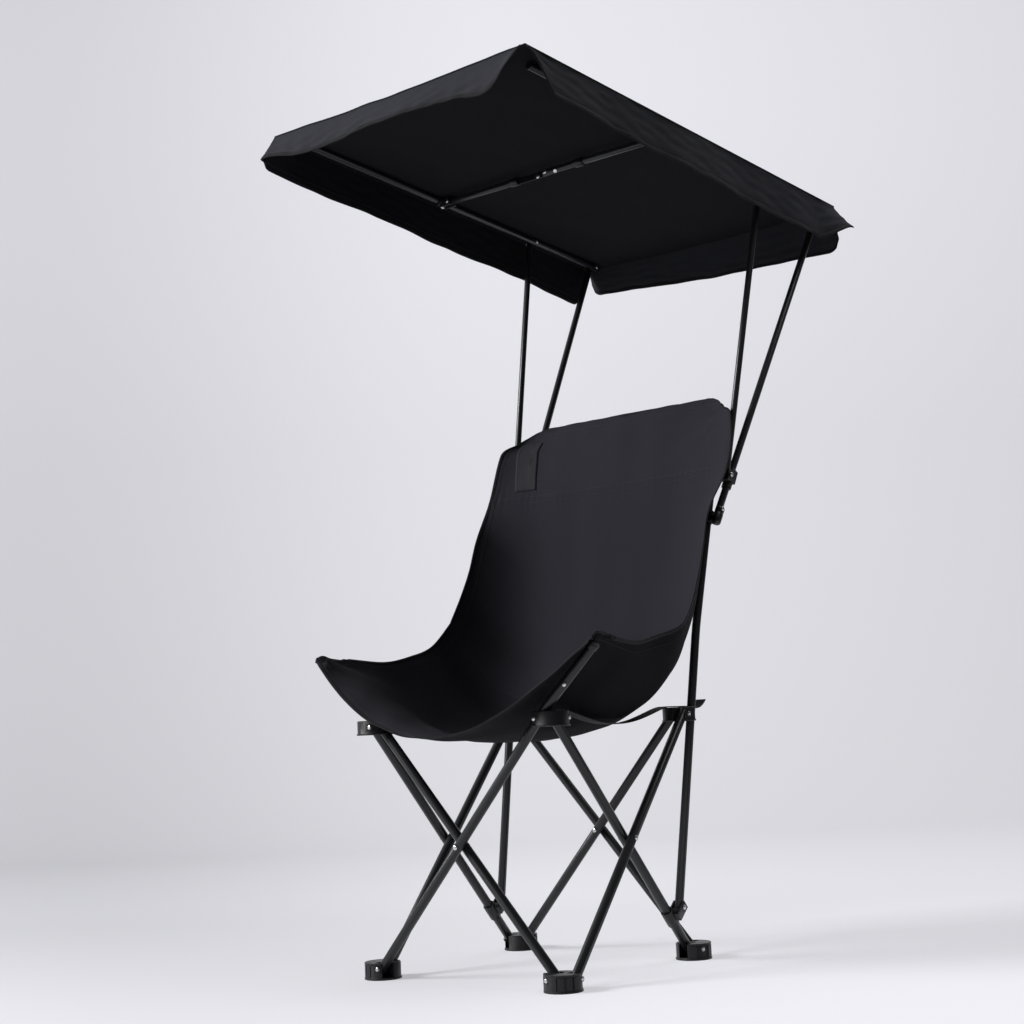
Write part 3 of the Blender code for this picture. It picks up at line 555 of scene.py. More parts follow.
def footTrims():
    bars = [footTrim["rim"]]
    for turn in footTrim["padTurns"]:
        bars.append((turn - footTrim["padWidth"] / 2, turn + footTrim["padWidth"] / 2, *footTrim["pad"]))
    for corner, label in enumerate(cornerNames):
        verts, faces = [], []
        place = math.radians(225 + 90 * corner)
        centre = np.array([math.cos(place), math.sin(place)]) * chair["half"] * math.sqrt(2)
        for start, end, inner, outer, low, high in bars:
            angle = np.radians(np.linspace(start, end, footTrim["steps"]) + 90 * corner)
            profile = np.array([(inner, low), (outer, low), (outer, high), (inner, high)])
            ring = pointsFrom(centre[0] + np.cos(angle)[:, None] * profile[None, :, 0],
                              centre[1] + np.sin(angle)[:, None] * profile[None, :, 0], profile[:, 1])
            first = sum(len(part) for part in verts)
            faces += [[first + k for k in face] for face in ringFaces(len(angle), 4)]
            verts.append(ring.reshape(-1, 3))
        piece = closedPiece(label + "FootTrim", toWorld(np.concatenate(verts)), faces, blackPlastic,
                            smooth=False)
        softened(piece, footTrim["softEdge"], 2)
        carried(piece, label + "_foot")


def fittedBlock(name, centre, up, way, limits):
    # a soft-edged block with one side square to X and its height along the given direction
    low, high = (np.array(corner) for corner in limits)
    forward = unit(np.cross(np.array([1.0, 0, 0]), up))
    picks = np.array([[i, j, k] for k in (0, 1) for j in (0, 1) for i in (0, 1)])
    local = np.where(picks == 1, high, low)
    points = (np.array(centre) + local[:, :1] * np.array([1.0, 0, 0]) + local[:, 1:2] * forward
              + local[:, 2:] * np.asarray(up)) * np.array([way, 1, 1])
    faces = [[0, 2, 3, 1], [4, 5, 7, 6], [0, 1, 5, 4], [1, 3, 7, 5], [3, 2, 6, 7], [2, 0, 4, 6]]
    piece = closedPiece(name, toWorld(points), faces, blackPlastic, smooth=False)
    softened(piece, fitting["blockBevel"], 3)
    return piece


def armFittings():
    keys = ("mastFoot", "mastTop", "eyeCentre", "strutTop")
    foot, top, eye, head = (np.array(fitting[key]) for key in keys)
    up = unit(top - foot)
    flatUp, flatStrut = (unit(direction * np.array([0, 1, 1])) for direction in (up, head - eye))
    lean = math.radians(fitting["tipLean"])
    for side, way in bothSides:
        clip = fittedBlock(side + "ClipBlock", fitting["clipCentre"], flatUp, way, fitting["clipBlock"])
        carried(clip, side + "_strut_clip")
        block = fittedBlock(side + "StrutEye", fitting["eyeCentre"], flatStrut, way, fitting["strutEye"])
        carried(block, side + "_strut")
        mirror = np.array([way, 1, 1])
        centre = toWorld((foot + np.array([fitting["outwards"], 0, 0])) * mirror)
        for label in ("barrel", "ring"):
            piece = turnedPiece(f"{side}Mast{label.title()}", centre, up * mirror, fitting[label],
                                blackPlastic)
            carried(piece, side + "_mast")
        cap = turnedPiece(side + "TipCap", toWorld(fitting[side + "Tip"]),
                          (way * math.cos(lean), 0, math.sin(lean)), fitting["tipCap"], blackPlastic)
        carried(cap, "front_leg_to_" + side)


footTrims()
armFittings()
print("moulded trims placed")


# The sling: one backrest sheet and one seat sheet, each bowed between its edges

sling = {
    "thickness": 0.0012, "gap": 0.0024, "middle": 0.0008,
    "backRows": 150, "seatRows": 120, "columns": 150,
    "backFold": 0.00064, "seatFold": 0.00128,
    "tape": (0.0036, 0.0013),
    "foldedShare": {"left_post": 0.28, "sling_seat": 0.25}, "foldedSide": 0.204,
    "cornerRounds": (0.050, 0.034), "rowPower": 1.5,
    "tipDrop": 0.015, "tipStartShare": 0.84,
    "headSeamShare": 0.43, "seamReach": 0.008, "seamDip": 0.0009, "topHemDepth": 0.014,
    "pucker": 0.0005, "puckerSpacing": 0.013, "halfWidth": 0.27,
    # where the cloth is held at the left: place, reach, count and depth of its folds
    "backPull": ((0.205, 0.075, 0.975), 0.12, 12, 0.0007),
    "seatPull": ((0.285, -0.40, 0.535), 0.16, 14, 0.0022),
}
# middle height, middle front, edge side, edge height, edge front, bow power, carried by posts
backShares = (
    (1.0362, 0.005, 1.225, 1.0365, 0.110, 6.0, 1),
    (0.9925, 0.000, 1.285, 0.9805, 0.150, 12.0, 1),
    (0.9315, -0.025, 1.425, 0.9156, 0.160, 6.0, 0),
    (0.7606, -0.016, 1.462, 0.6558, 0.200, 4.0, 0),
    (0.4943, -0.105, 1.414, 0.4370, 0.389, 4.0, 0),
    (0.3042, -0.120, 1.416, 0.2732, 0.435, 4.0, 0),
    (0.1142, -0.050, 1.432, 0.1367, 0.496, 4.3, 0),
    (0.0000, 0.213, 1.449, 0.0000, 0.583, 4.5, 0),
)
# middle place and height, edge side, place and height, bow power
seatShares = (
    (0.838, 1.073, 0.939, 0.649, 1.158, 4.5),
    (0.541, 0.976, 0.960, 0.378, 1.071, 3.8),
    (0.162, 0.924, 0.939, 0.000, 1.033, 3.4),
    (-0.270, 0.917, 0.953, -0.324, 1.013, 3.0),
    (-0.649, 0.922, 0.985, -0.649, 1.018, 2.0),
    (-1.081, 0.932, 1.020, -0.984, 1.030, 1.6),
    (-1.416, 0.941, 1.027, -1.146, 1.048, 1.9),
)


def postSide(height):
    return post["pin"][0] + (height - post["pin"][2]) * math.tan(math.radians(post["splay"]))


def postBack(height):
    # straight up to the bend, then at the upper lean
    low = np.minimum(height, post["bend"])
    lower = post["pin"][1] + (low - post["pin"][2]) * math.tan(math.radians(post["lean"]))
    return lower + (height - low) * math.tan(math.radians(post["upperLean"]))


def bowedRows(middle, edge, power, across):
    # each row leaves its middle as a power of the share across, up to its two edges
    across = np.broadcast_to(across, (len(power), np.shape(across)[-1]))
    bulge = np.abs(across) ** power[:, None]
    x = edge[:, :1] * across
    y = middle[:, 1:2] + (edge - middle)[:, 1:2] * bulge
    z = middle[:, 2:] + (edge - middle)[:, 2:] * bulge
    return pointsFrom(x, y, z)


def backSheet(shares, across):
    columns = curveThrough(backShares, shares).T
    middleHeight, middleFront, side, edgeHeight, edgeFront, power, onPosts = columns
    seatMiddle, seatEdge = chair["seatHeight"] * seatShares[0][1], chair["tubeTip"][1] * seatShares[0][4]
    height = seatMiddle + (chair["postTop"] - seatMiddle) * middleHeight
    edgeZ = seatEdge + (chair["postTop"] - seatEdge) * edgeHeight
    width = chair["half"] * side
    offset = post["radius"] / math.cos(math.radians(post["upperLean"])) + sling["middle"] + sling["gap"]
    bulge = (postSide(height) / width) ** power
    offset = offset - chair["half"] * (edgeFront - middleFront) * bulge * np.maximum(onPosts, 0)
    middle = pointsFrom(0, postBack(height) - offset - chair["half"] * middleFront, height)
    edge = pointsFrom(width, postBack(edgeZ) - offset - chair["half"] * edgeFront, edgeZ)
    return bowedRows(middle, edge, power, across)


def cornerTrim(fromEnd, radius):
    # how much a quarter-round corner takes off near an end
    left = radius - np.clip(fromEnd, 0, radius)
    return radius - np.sqrt(np.maximum(radius**2 - left**2, 0))


def roundedAcross(shares, across):
    # the columns' shares across, drawn in near the top so that the sheet's upper corners are round
    side, edgeHeight = curveThrough(backShares, np.append(shares, 0.0))[:, [2, 3]].T
    reach = chair["postTop"] - chair["tubeTip"][1]
    fall = (edgeHeight[-1] - edgeHeight[:-1]) * reach
    narrowed = []
    for radius in sling["cornerRounds"]:   # the sitter's right corner hangs rounder than the left one
        trim = cornerTrim(fall, radius)
        narrowed.append(across[None] * (1 - trim / (chair["half"] * side[:-1]))[:, None])
    return np.where(across[None] < 0, *narrowed)


def seatSheet(shares, across):
    back, height, side, edgeBack, edgeHeight, power = curveThrough(seatShares, shares).T
    tipX, tipZ = chair["tubeTip"]
    pastStart = np.clip((shares - sling["tipStartShare"]) / (1 - sling["tipStartShare"]), 0, 1)
    middle = pointsFrom(0, chair["half"] * back, chair["seatHeight"] * height)
    edge = pointsFrom(tipX * side, chair["half"] * edgeBack,
                      tipZ * edgeHeight - sling["tipDrop"] * pastStart**2)
    return bowedRows(middle, edge, power, across)


def foldsOf(u, v, seed, count=9):
    # soft unevenness of stretched cloth: a few slow sine folds of unlike direction, added up
    rng = np.random.default_rng(seed)
    total = np.zeros(np.broadcast(u, v).shape)
    for k in range(count):
        turn = rng.uniform(0, math.pi)
        waves = rng.uniform(1.2, 5.5)
        along = u * math.cos(turn) + v * math.sin(turn)
        total += np.sin(math.tau * waves * along + rng.uniform(0, math.tau)) / count**0.5
    return total


def puckers(place, spacing):
    # small gathers across a seam, uneven along it
    return np.sin(place * math.tau / spacing) * (0.6 + 0.4 * np.sin(place * math.tau / (spacing * 5.3)))


def pulledFolds(points, pull):
    # folds that fan out from the two places where the cloth is held, and fade with the distance
    (x, y, z), reach, count, depth = pull
    total = 0
    for side in (-1, 1):
        away = points - np.array([side * x, y, z])
        distance = np.linalg.norm(away, axis=-1)
        level = np.hypot(away[..., 0], away[..., 1]) * np.sign(away[..., 0] + 1e-9)
        fade = np.exp(-((distance / reach) ** 2)) * np.clip(distance / (0.15 * reach), 0, 1)
        total = total + depth * fade * np.sin(np.arctan2(away[..., 2], level) * count)
    return total


# cloth carried by the node's body, with a mesh of its own
def folding(piece, node):
    # cloth that draws together across the chair as the frame folds
    carried(piece, node)
    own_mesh(piece)
    return piece


def ridesSling(piece, node):
    return folding(piece, node)


def easedAcross(count):
    # columns from edge to edge, closer together near the edges
    across = np.linspace(-1, 1, count)
    return across + across * (1 - across**2) / 4


backRowShares = np.linspace(0, 1, sling["backRows"]) ** sling["rowPower"]


def raisedBy(points, relief):
    # the cloth lies just behind its outline, raised by the relief along its normals
    return points + gridNormals(points) * (relief - sling["middle"])[..., None]


def makeSling():
    across = easedAcross(sling["columns"])
    u, v = across[None], backRowShares[:, None]
    outline = toWorld(backSheet(backRowShares, roundedAcross(backRowShares, across)))
    relief = sling["backFold"] * foldsOf(u, v, 3) * (1 - np.abs(u) ** 6)
    fromSeam = (v - sling["headSeamShare"]) / sling["seamReach"]
    gathers = puckers(u * sling["halfWidth"], sling["puckerSpacing"]) * np.exp(-((fromSeam / 3) ** 2))
    relief = relief - sling["seamDip"] * np.exp(-(fromSeam**2)) + sling["pucker"] * gathers
    backPoints = raisedBy(outline, relief + pulledFolds(outline, sling["backPull"]))
    shares = np.linspace(0, 1, sling["seatRows"])
    outline = toWorld(seatSheet(shares, across))
    relief = sling["seatFold"] * foldsOf(u, shares[:, None], 8) * (1 - np.abs(u) ** 8)
    seatPoints = raisedBy(outline, relief + pulledFolds(outline, sling["seatPull"]))
    seatPoints[0] = backPoints[-1]
    # the darker copy, painted shade, goes on the sheets' outer faces, and the plain cloth on the faces
    # towards the sitter
    return (clothPiece("slingBackCloth", backPoints, slingPaintedShade, sling["thickness"], slingCloth),
            clothPiece("slingSeatCloth", seatPoints, slingPaintedShade, sling["thickness"], slingCloth),
            backPoints, seatPoints)


slingBack, slingSeat, backPoints, seatPoints = makeSling()
backNormals, seatNormals = gridNormals(backPoints), gridNormals(seatPoints)
ridesSling(slingBack, "left_post")
ridesSling(slingSeat, "sling_seat")
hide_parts("sling_back")
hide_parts("sling_seat")
print("sling sewn")


# Bindings, seams and stitches on the sling

stitch = {"pitch": 0.0042, "length": 0.0030, "radius": 0.00034, "raise": 0.0009, "canopyRaise": 0.0008}
facings = (("Front", 1), ("Rear", -1))


def tapeAlong(name, points, normals, inward, size):
    # an edge tape folded over a sheet's border: a flat rounded band carried along it
    beside = unit(inward - normals * np.sum(inward * normals, axis=-1, keepdims=True))
    path = points + beside * size[0] * 0.7
    return sweptPiece(name, path, edgeTape, *size, 10, beside, normals, power=0.7)


def bindingAlong(name, points, normals, inward, node):
    ridesSling(tapeAlong(name, points, normals, inward, sling["tape"]), node)


def sewnLine(name, points, normals, node, offset=stitch["raise"]):
    ridesSling(stitchPiece(name, points + normals * offset, normals), node)


def sewnThrough(name, points, normals, node):
    # a line of stitches seen on both faces of a sheet
    for face, way in facings:
        sewnLine(name + face, points, normals * way, node)


sheets = (("back", backPoints, backNormals, "left_post"), ("seat", seatPoints, seatNormals, "sling_seat"))
for label, points, normals, node in sheets:
    for side, column, near, inner in (("right", 0, 3, 5), ("left", -1, -4, -6)):
        bindingAlong(f"{side}{label.title()}Binding", points[:, column], normals[:, column],
                     points[:, near] - points[:, column], node)
        sewnThrough(f"{side}{label.title()}Stitches", points[:, inner], normals[:, inner], node)
bindingAlong("backTopBinding", backPoints[0], backNormals[0], backPoints[3] - backPoints[0], "left_post")
bindingAlong("seatFrontBinding", seatPoints[-1], seatNormals[-1], seatPoints[-4] - seatPoints[-1],
             "sling_seat")
seamRow = int(np.searchsorted(backRowShares, sling["headSeamShare"]))
middleHeights = backPoints[:, sling["columns"] // 2, 2]
hemRow = int(np.argmax(middleHeights[0] - middleHeights > sling["topHemDepth"]))
for name, row in (("headSeam1", seamRow - 1), ("headSeam2", seamRow + 1)):
    sewnThrough(name, backPoints[row, 6:-6], backNormals[row, 6:-6], "left_post")
for face, way in facings:
    for name, points, normals, row, node in (
            ("topHemStitches", backPoints, backNormals, hemRow, "left_post"),
            ("seatHemStitches", seatPoints, seatNormals, -7, "sling_seat")):
        sewnLine(name + face, points[row, 6:-6], normals[row, 6:-6] * way, node)
print("sling bound and stitched")


# Small sewn parts of the sling: a plain patch at one shoulder and the pockets over the post tops

# the patch's corners are shares of the sheet's rows and columns: row, then its two columns
patch = {"top": (0.325, 0.050, 0.158), "bottom": (0.548, 0.123, 0.211), "rows": 40, "columns": 14,
         "raise": 0.0013, "thickness": 0.0009, "stitchRaise": 0.0006}
pocket = {"low": 0.900, "high": 0.9720, "wide": 0.0112, "deep": 0.0086, "dome": 0.010, "steps": 40,
          "back": 0.0002, "hem": 0.0006, "hemSteps": 4, "sides": 20, "power": 0.8}


def gridSample(grid, rowShares, columnShares):
    # points between the grid's own, each weighed from its four neighbours
    row, column = np.broadcast_arrays(rowShares * (grid.shape[0] - 1), columnShares * (grid.shape[1] - 1))
    i, j = row.astype(int), column.astype(int)
    s, t = (row - i)[..., None], (column - j)[..., None]
    upper = grid[i, j] * (1 - t) + grid[i, j + 1] * t
    lower = grid[i + 1, j] * (1 - t) + grid[i + 1, j + 1] * t
    return upper * (1 - s) + lower * s


def makePatch():
    # its two long sides run down the front of the sheet between two shares across
    fall = np.linspace(0, 1, patch["rows"])
    top, bottom = np.array(patch["top"]), np.array(patch["bottom"])
    rows, right, left = (top[None] + (bottom - top)[None] * fall[:, None]).T
    columns = right[:, None] + (left - right)[:, None] * np.linspace(0, 1, patch["columns"])[None]
    points = gridSample(backPoints, rows[:, None], columns)
    points = points - gridNormals(points) * patch["raise"]
    ridesSling(clothPiece("shoulderPatch", points, patchCloth, patch["thickness"]), "left_post")
    normals = -gridNormals(points)
    for label, column in (("Inner", -2), ("Outer", 1)):
        sewnLine("patchStitches" + label, points[:, column], normals[:, column], "left_post",
                 patch["stitchRaise"])


def makePocket(side, way):
    # a sleeve of doubled cloth over the top of a post, closed by a soft dome
    height = np.linspace(pocket["low"], pocket["high"], pocket["steps"])
    path = toWorld(pointsFrom(way * postSide(height), postBack(height) + pocket["back"], height))
    toTop = np.clip((pocket["high"] - height) / pocket["dome"], 0, 1)
    taper = np.sqrt(np.maximum(1 - (1 - toTop) ** 2, 0.02))
    # the sleeve takes the sling's darker copy, which is painted shade
    for label, cloth, steps, wide, deep in (
            ("PostPocket", slingPaintedShade, pocket["steps"], pocket["wide"] * taper, pocket["deep"] * taper),
            ("PocketHem", edgeTape, pocket["hemSteps"], pocket["wide"] + pocket["hem"],
             pocket["deep"] + pocket["hem"])):
        piece = sweptPiece(side + label, path[:steps], cloth, wide, deep, pocket["sides"],
                           power=pocket["power"])
        carried(piece, side + "_post")


makePatch()
for side, way in bothSides:
    makePocket(side, way)


# The canopy: a roof between the rails with hanging flaps on all four sides

canopy = {
    "frontOver": 0.050, "rearOver": 0.026, "sideFront": 0.0315, "sideRear": 0.0350, "sag": 0.006,
    "dropFront": 0.064, "dropRear": 0.086, "flare": 0.006, "wave": 0.0035, "waves": 5,
    "roofFold": 0.0007, "flapFold": 0.0006, "ripple": 0.0012, "ripples": 7.3, "rippleStart": 0.6,
    "valanceFlare": 0.010, "valanceWave": 0.003, "valanceFold": 0.0011, "rearRound": 0.026,
    "flapFrontRound": 0.012, "flapRearRound": 0.0216, "slant": 0.032, "slantReach": 0.16,
    "frontCut": 0.062, "wrapLength": 0.075, "wrapOut": 0.024, "wrapRise": 0.016, "wrapBulge": 0.006,
    "tipLength": 0.085, "tipOut": 0.026, "tipBack": 0.016, "tipDrop": 0.046, "leastDrop": 0.06,
    "crossbar": 0.130, "lift": 0.0016, "rows": 170, "columns": 90, "flapRows": 18, "thickness": 0.0010,
    "foldedShare": 0.425,
    "tape": (0.0034, 0.0012), "welt": (0.0019, 0.0016), "weltRise": 0.0006, "bendColumns": 7,
}
# depths of the two valances at even steps from the sitter's right to the left
frontDrops = (0.038, 0.050, 0.047, 0.043, 0.042, 0.043, 0.048, 0.056, 0.005)
rearDrops = (0.058, 0.065, 0.073, 0.080, 0.088)


def railAt(back):
    rear, front = np.array(rail["rear"]), np.array(rail["front"])
    share = (back - rear[1]) / (front[1] - rear[1])
    return rear + (front - rear) * np.asarray(share)[..., None]


def roofSheet(across, back):
    # the roof's point at a share across from -1 to 1 and a share back from 0 to 1
    front, rear = rail["front"][1] - canopy["frontOver"], rail["rear"][1] + canopy["rearOver"]
    y = front + (rear - front) * back
    place = railAt(y)
    side = place[..., 0] + canopy["sideFront"] + (canopy["sideRear"] - canopy["sideFront"]) * back
    bar = (canopy["crossbar"] - front) / (rear - front)
    slack = np.maximum(1 - (side * across / place[..., 0]) ** 2, 0)
    sag = canopy["sag"] * slack * ((back - bar) / max(bar, 1 - bar)) ** 2
    return pointsFrom(side * across, y, place[..., 2] + rail["radius"] + canopy["lift"] - sag)


def eased(share):
    share = np.clip(share, 0, 1)
    return share * share * (3 - 2 * share)


def flapShape(back, side):
    # one side flap: its drop, and how far its lower edge is drawn outwards and to the rear
    length = rail["rear"][1] - rail["front"][1] + canopy["frontOver"] + canopy["rearOver"]
    fromFront, fromRear = back * length, (1 - back) * length
    drop = canopy["dropFront"] + (canopy["dropRear"] - canopy["dropFront"]) * back
    if side > 0:
        atTip = eased(1 - fromRear / canopy["tipLength"])
        drop = drop * np.clip(canopy["leastDrop"] + fromFront / canopy["frontCut"], 0, 1)
        drop = drop + (canopy["tipDrop"] - drop) * atTip
        return drop, canopy["tipOut"] * atTip, canopy["tipBack"] * atTip
    wrapped = eased(1 - fromFront / canopy["wrapLength"])
    drop = (drop - canopy["wrapRise"] * wrapped - cornerTrim(fromFront, canopy["flapFrontRound"])
            - cornerTrim(fromRear, canopy["flapRearRound"]))
    return drop, canopy["wrapOut"] * wrapped, -canopy["slant"] * eased(1 - fromRear / canopy["slantReach"])


def makeCanopy():
    back = np.linspace(0, 1, canopy["rows"])[:, None]
    across = np.linspace(-1, 1, canopy["columns"])[None]
    roof = roofSheet(across, back)
    roof[..., 2] += canopy["roofFold"] * foldsOf(across, back * 1.6, 21) * (1 - across**8)
    share = np.linspace(0, 1, canopy["flapRows"] + 1)[None, 1:]
    wave = canopy["wave"] * np.sin(math.pi * canopy["waves"] * back)
    ripple = canopy["ripple"] * np.sin(math.tau * canopy["ripples"] * back + canopy["rippleStart"]) * share
    out = (canopy["flare"] + wave) * share + ripple + canopy["flapFold"] * foldsOf(share, back * 3, 5)
    strips = []
    for side in (-1, 1):
        drop, outwards, rearwards = flapShape(back, side)
        flap = np.repeat(roof[:, [0 if side < 0 else -1]], share.shape[1], axis=1)
        flap[..., 0] += side * (out + outwards * share**1.3)
        flap[..., 1] += rearwards * share**1.3
        flap[..., 2] -= drop * share
        strips.append(flap)
    sheet = np.concatenate([strips[0][:, ::-1], roof, strips[1]], axis=1)
    valances = []
    for rowIndex, way, drops in ((0, -1, frontDrops), (-1, 1, rearDrops)):
        fall = np.linspace(0, 1, canopy["flapRows"] + 1)[:, None]
        flare = canopy["valanceFlare"] + canopy["valanceWave"] * np.cos(math.tau * across)
        drop = curveThrough(np.array(drops)[:, None], (across[0] + 1) / 2)[:, 0]
        if way > 0:
            drop = drop - cornerTrim((1 - np.abs(across[0])) * roof[-1, -1, 0], canopy["rearRound"])
        flap = np.repeat(roof[rowIndex][None], len(fall), axis=0)
        folds = canopy["valanceFold"] * foldsOf(across * 1.5, fall, 30 + way)
        flap[..., 1] += way * (flare * fall + folds * fall)
        flap[..., 2] -= drop * fall
        valances.append(flap)
    # at the sitter's right the front valance bends round into the side flap, as one cloth
    blend = np.linspace(0, 1, canopy["bendColumns"] + 2)[None, 1:-1, None]
    first = valances[0][:, :1]
    last = np.concatenate([roof[:1, :1], strips[0][:1]], axis=1)[0][:, None]
    bend = first + (last - first) * blend
    bulge = canopy["wrapBulge"] * np.sin(math.pi * blend[..., 0]) * (0.1 + fall)
    bend[..., :2] -= bulge[..., None]
    valances[0] = np.concatenate([last, bend[:, ::-1], valances[0]], axis=1)
    return toWorld(sheet), toWorld(valances[0]), toWorld(valances[1])


def ridesCanopy(piece):
    return folding(piece, "left_rail")


canopySheet, frontFlap, rearFlap = makeCanopy()
# the underside of the roof and side flaps and the front valance's inner face take the darker copy, painted
# shade; the rear valance keeps the plain cloth on both faces
canopyTop = clothPiece("canopyTopCloth", canopySheet, canopyCloth, canopy["thickness"], canopyPaintedShade)
frontValance = clothPiece("frontValance", frontFlap[:, ::-1], canopyCloth, canopy["thickness"], canopyPaintedShade)
rearValance = clothPiece("rearValance", rearFlap, canopyCloth, canopy["thickness"])
for piece in (canopyTop, frontValance, rearValance):
    ridesCanopy(piece)
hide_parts("canopy_cloth")


def canopyHem(side, part, points, normals, inward, stitched, stitchedNormals, fold):
    # a tape along a lower edge, a thin welt just proud of the roof's fold, and stitches on both faces
    welt = fold + np.array([0, 0, canopy["weltRise"]])
    label = side + part + "Stitches"
    ridesCanopy(tapeAlong(side + part + "Hem", points, normals, inward, canopy["tape"]))
    ridesCanopy(sweptPiece(side + "RoofSeam", welt, edgeTape, *canopy["welt"], 10))
    for face, way in (("Outer", 1), ("Inner", -1)):
        line = stitched + stitchedNormals * way * stitch["canopyRaise"]
        ridesCanopy(stitchPiece(label + face, line, stitchedNormals * way))


sheetNormals = gridNormals(canopySheet)
flapRows = canopy["flapRows"]
for side, column, near, fold in (("right", 0, 3, flapRows), ("left", -1, -4, -flapRows - 1)):
    hem, sewn = canopySheet[:, column], canopySheet[:, near]
    canopyHem(side, "Flap", hem, sheetNormals[:, column], sewn - hem, sewn, sheetNormals[:, near],
              canopySheet[:, fold])
for side, flap in (("front", frontFlap), ("rear", rearFlap)):
    normals = gridNormals(flap)
    canopyHem(side, "Valance", flap[-1], normals[-1], flap[-4] - flap[-1], flap[-4], normals[-4],
              flap[0, -canopy["columns"]:])
print("canopy sewn")


# Webbing straps over the hubs of each side

strap = {"inset": 0.011, "width": 0.024, "thickness": 0.0014, "rise": 0.0016, "dip": 0.0255, "tail": 0.056,
         "tailDip": 0.004, "tailHook": 0.011, "flange": 0.0308, "start": -0.1815, "steps": 120,
         "foldedShare": 0.2}


def makeStrap(side, way):
    # flat over both hub tops, slack between them, with a loose tail behind the rear hub
    end = chair["half"] + strap["flange"]
    edge = chair["half"] - strap["flange"]
    y = np.linspace(strap["start"], end + strap["tail"], strap["steps"])
    slack = np.where(np.abs(y) < edge, (1 - np.minimum((y / edge) ** 2, 1)) ** 1.5, 0)
    tail = np.clip((y - end) / strap["tail"], 0, 1)
    hooked = strap["tailHook"] * tail**4 - strap["tailDip"] * np.sin(math.pi * tail)
    z = chair["hubTop"] + strap["rise"] - strap["dip"] * slack + hooked
    path = toWorld(pointsFrom(way * (chair["half"] - strap["inset"]), y, z))
    beside = np.tile([1.0, 0, 0], (len(y), 1))
    above = unit(np.cross(beside, np.gradient(path, axis=0)))
    piece = sweptPiece(side + "StrapWebbing", path, webbing, strap["width"] / 2, strap["thickness"] / 2, 16,
                       beside, above, power=0.35)
    carried(piece, f"rear_{side}_hub", f"{side}_seat_strap")
    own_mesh(piece)


for side, way in bothSides:
    makeStrap(side, way)
print("straps laid")


# Floor, backdrop, lights and camera

studio = {
    # the glow colour, the side and near glow, the evenness and the rise paint uneven light onto the backdrop
    # through its emission
    "paper": (0.40, 0.40, 0.42), "glow": (0.955, 0.95, 1.0),
    "across": (0.785, 0.62, 0), "away": (-0.61, 0.79, 0), "reach": 2.96,
    "sideShares": (-0.33, 0.02), "sideGlow": (0.150, 0.375), "rise": 0.034,
    "nearSpan": (0.9, -0.75), "nearGlow": 0.125, "nearEvenness": 4.4,
    "wallDistance": 3.0, "bend": 1.8, "height": 7.0, "halfWidth": 9.0, "near": -8.0, "turn": 38,
    "world": (0.9, 0.92, 1.0), "worldStrength": 0.10,
}


def paintedBackdropLight(tree):
    # painted light on the backdrop: dimmer to one side, brighter high on the wall and on the floor close by
    place = addNode(tree, "TexCoord", {}).outputs["Object"]
    measures = []
    for key in ("across", "away"):
        dot = addNode(tree, "VectorMath", {0: place, 1: studio[key]})
        dot.operation = "DOT_PRODUCT"
        measures.append(dot.outputs["Value"])
    across, away = measures
    height = addNode(tree, "SeparateXYZ", {0: place})
    fan = mathNode(tree, "DIVIDE", across, mathNode(tree, "ADD", away, studio["reach"]))
    ranges = []
    for value, (low, high), (start, end) in ((fan, studio["sideShares"], studio["sideGlow"]),
                                             (away, studio["nearSpan"], (0.0, studio["nearGlow"]))):
        spread = addNode(tree, "MapRange", {"Value": value, "From Min": low, "From Max": high,
                                            "To Min": start, "To Max": end})
        spread.interpolation_type = "SMOOTHSTEP"
        ranges.append(spread.outputs["Result"])
    sideways, near = ranges
    lack = mathNode(tree, "SUBTRACT", studio["sideGlow"][1], sideways)
    nearGain = mathNode(tree, "MULTIPLY_ADD", lack, studio["nearEvenness"], 1.0)
    total = mathNode(tree, "MULTIPLY_ADD", near, nearGain, sideways)
    return mathNode(tree, "MULTIPLY_ADD", height.outputs["Z"], studio["rise"], total)


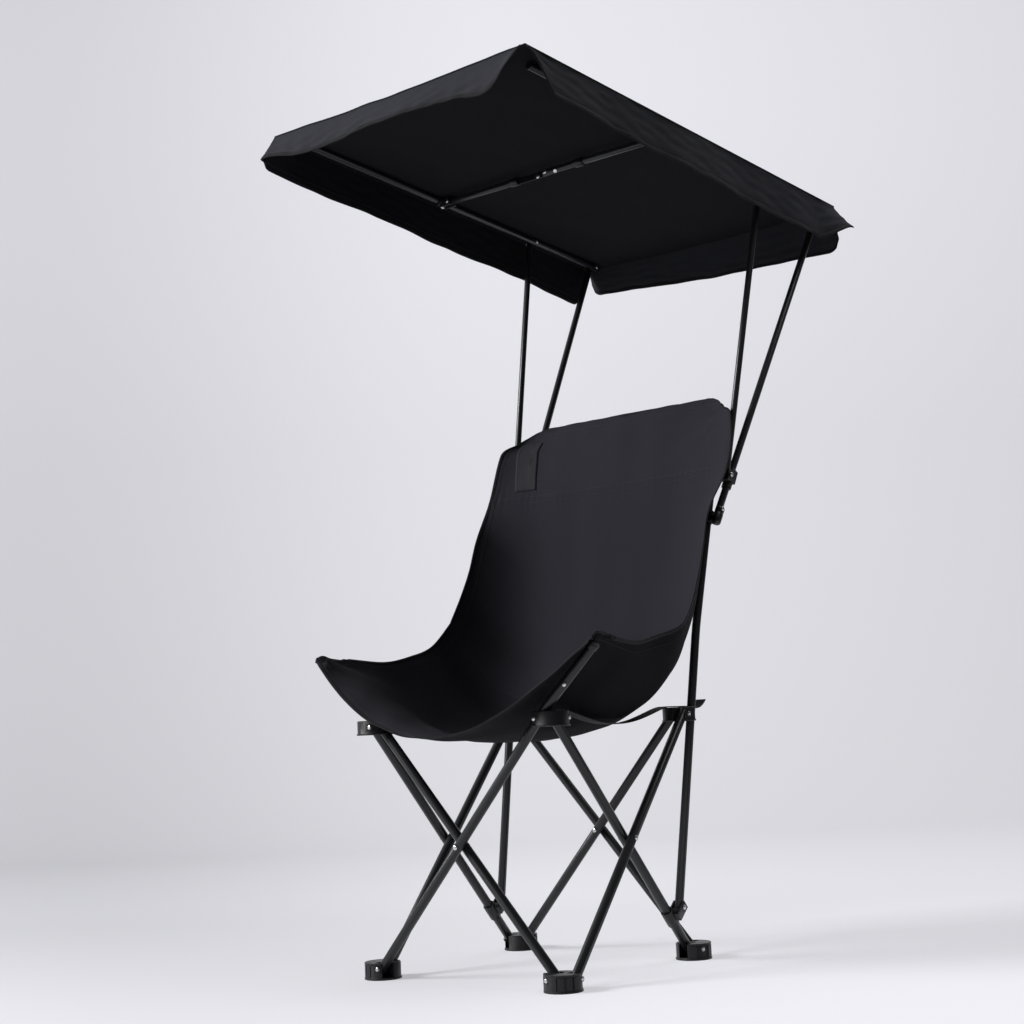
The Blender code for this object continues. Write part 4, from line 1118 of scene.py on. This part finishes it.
def makeBackdrop():
    # floor, a quarter-round bend and a wall: one profile carried from side to side
    angle = np.linspace(0, math.pi / 2, 24)
    bendY = studio["wallDistance"] + studio["bend"] * np.sin(angle)
    bendZ = studio["bend"] * (1 - np.cos(angle))
    y = np.concatenate([[studio["near"]], bendY, [bendY[-1]]])
    z = np.concatenate([[0.0], bendZ, [studio["height"]]])
    x = np.array([-studio["halfWidth"], studio["halfWidth"]])
    # turned to face the camera
    points = pointsFrom(x, y[:, None], z[:, None]).reshape(-1, 3) @ turnMatrix(-math.radians(studio["turn"]))
    material, tree, shader = newMaterial("paperBackdrop", studio["paper"],
                                         {"Roughness": 0.9, "Specular IOR Level": 0.1})
    # an emission seen only by camera and glossy rays paints the backdrop's uneven light
    path = addNode(tree, "LightPath", {})
    seen = mathNode(tree, "MAXIMUM", path.outputs["Is Camera Ray"], path.outputs["Is Glossy Ray"])
    wired(tree, shader, {"Emission Color": (*studio["glow"], 1),
                         "Emission Strength": mathNode(tree, "MULTIPLY", seen, paintedBackdropLight(tree))})
    newPiece("paperBackdrop", points, gridFaces(len(y), 2), material)


def areaLight(name, place, target, size, power):
    lamp = bpy.data.lights.new(name, "AREA")
    lamp.shape = "RECTANGLE"
    lamp.size, lamp.size_y = size
    lamp.energy = power
    holder = bpy.data.objects.new(name, lamp)
    bpy.context.scene.collection.objects.link(holder)
    holder.location = place
    holder.rotation_euler = (Vector(target) - Vector(place)).to_track_quat("-Z", "Y").to_euler()


makeBackdrop()
areaLight("keySoftbox", (-4.4, -4.8, 3.7), (0, 0, 0.7), (2.6, 2.2), 640)
areaLight("overheadSoftbox", (0.6, 1.0, 5.2), (0, 0.4, 0), (4.0, 4.0), 150)

world = bpy.data.worlds.new("studioAir")
world.use_nodes = True
wired(world.node_tree, world.node_tree.nodes["Background"],
      {"Color": (*studio["world"], 1), "Strength": studio["worldStrength"]})
bpy.context.scene.world = world

view = {"place": (1.716, -2.4165, 0.385), "forward": (-0.6093, 0.7812, 0.1357),
        "right": (0.7839, 0.6192, -0.0455), "up": (0.1196, -0.0787, 0.9897), "lens": 57.5}


def makeCamera():
    data = bpy.data.cameras.new("studioCamera")
    data.lens = view["lens"]
    data.sensor_width = 36
    data.clip_end = 50
    camera = bpy.data.objects.new("studioCamera", data)
    bpy.context.scene.collection.objects.link(camera)
    turn = Matrix([view["right"], view["up"], [-value for value in view["forward"]]]).transposed()
    camera.matrix_world = Matrix.Translation(view["place"]) @ turn.to_4x4()
    bpy.context.scene.camera = camera


makeCamera()
bpy.context.scene.view_settings.view_transform = "Standard"
print("studio ready")
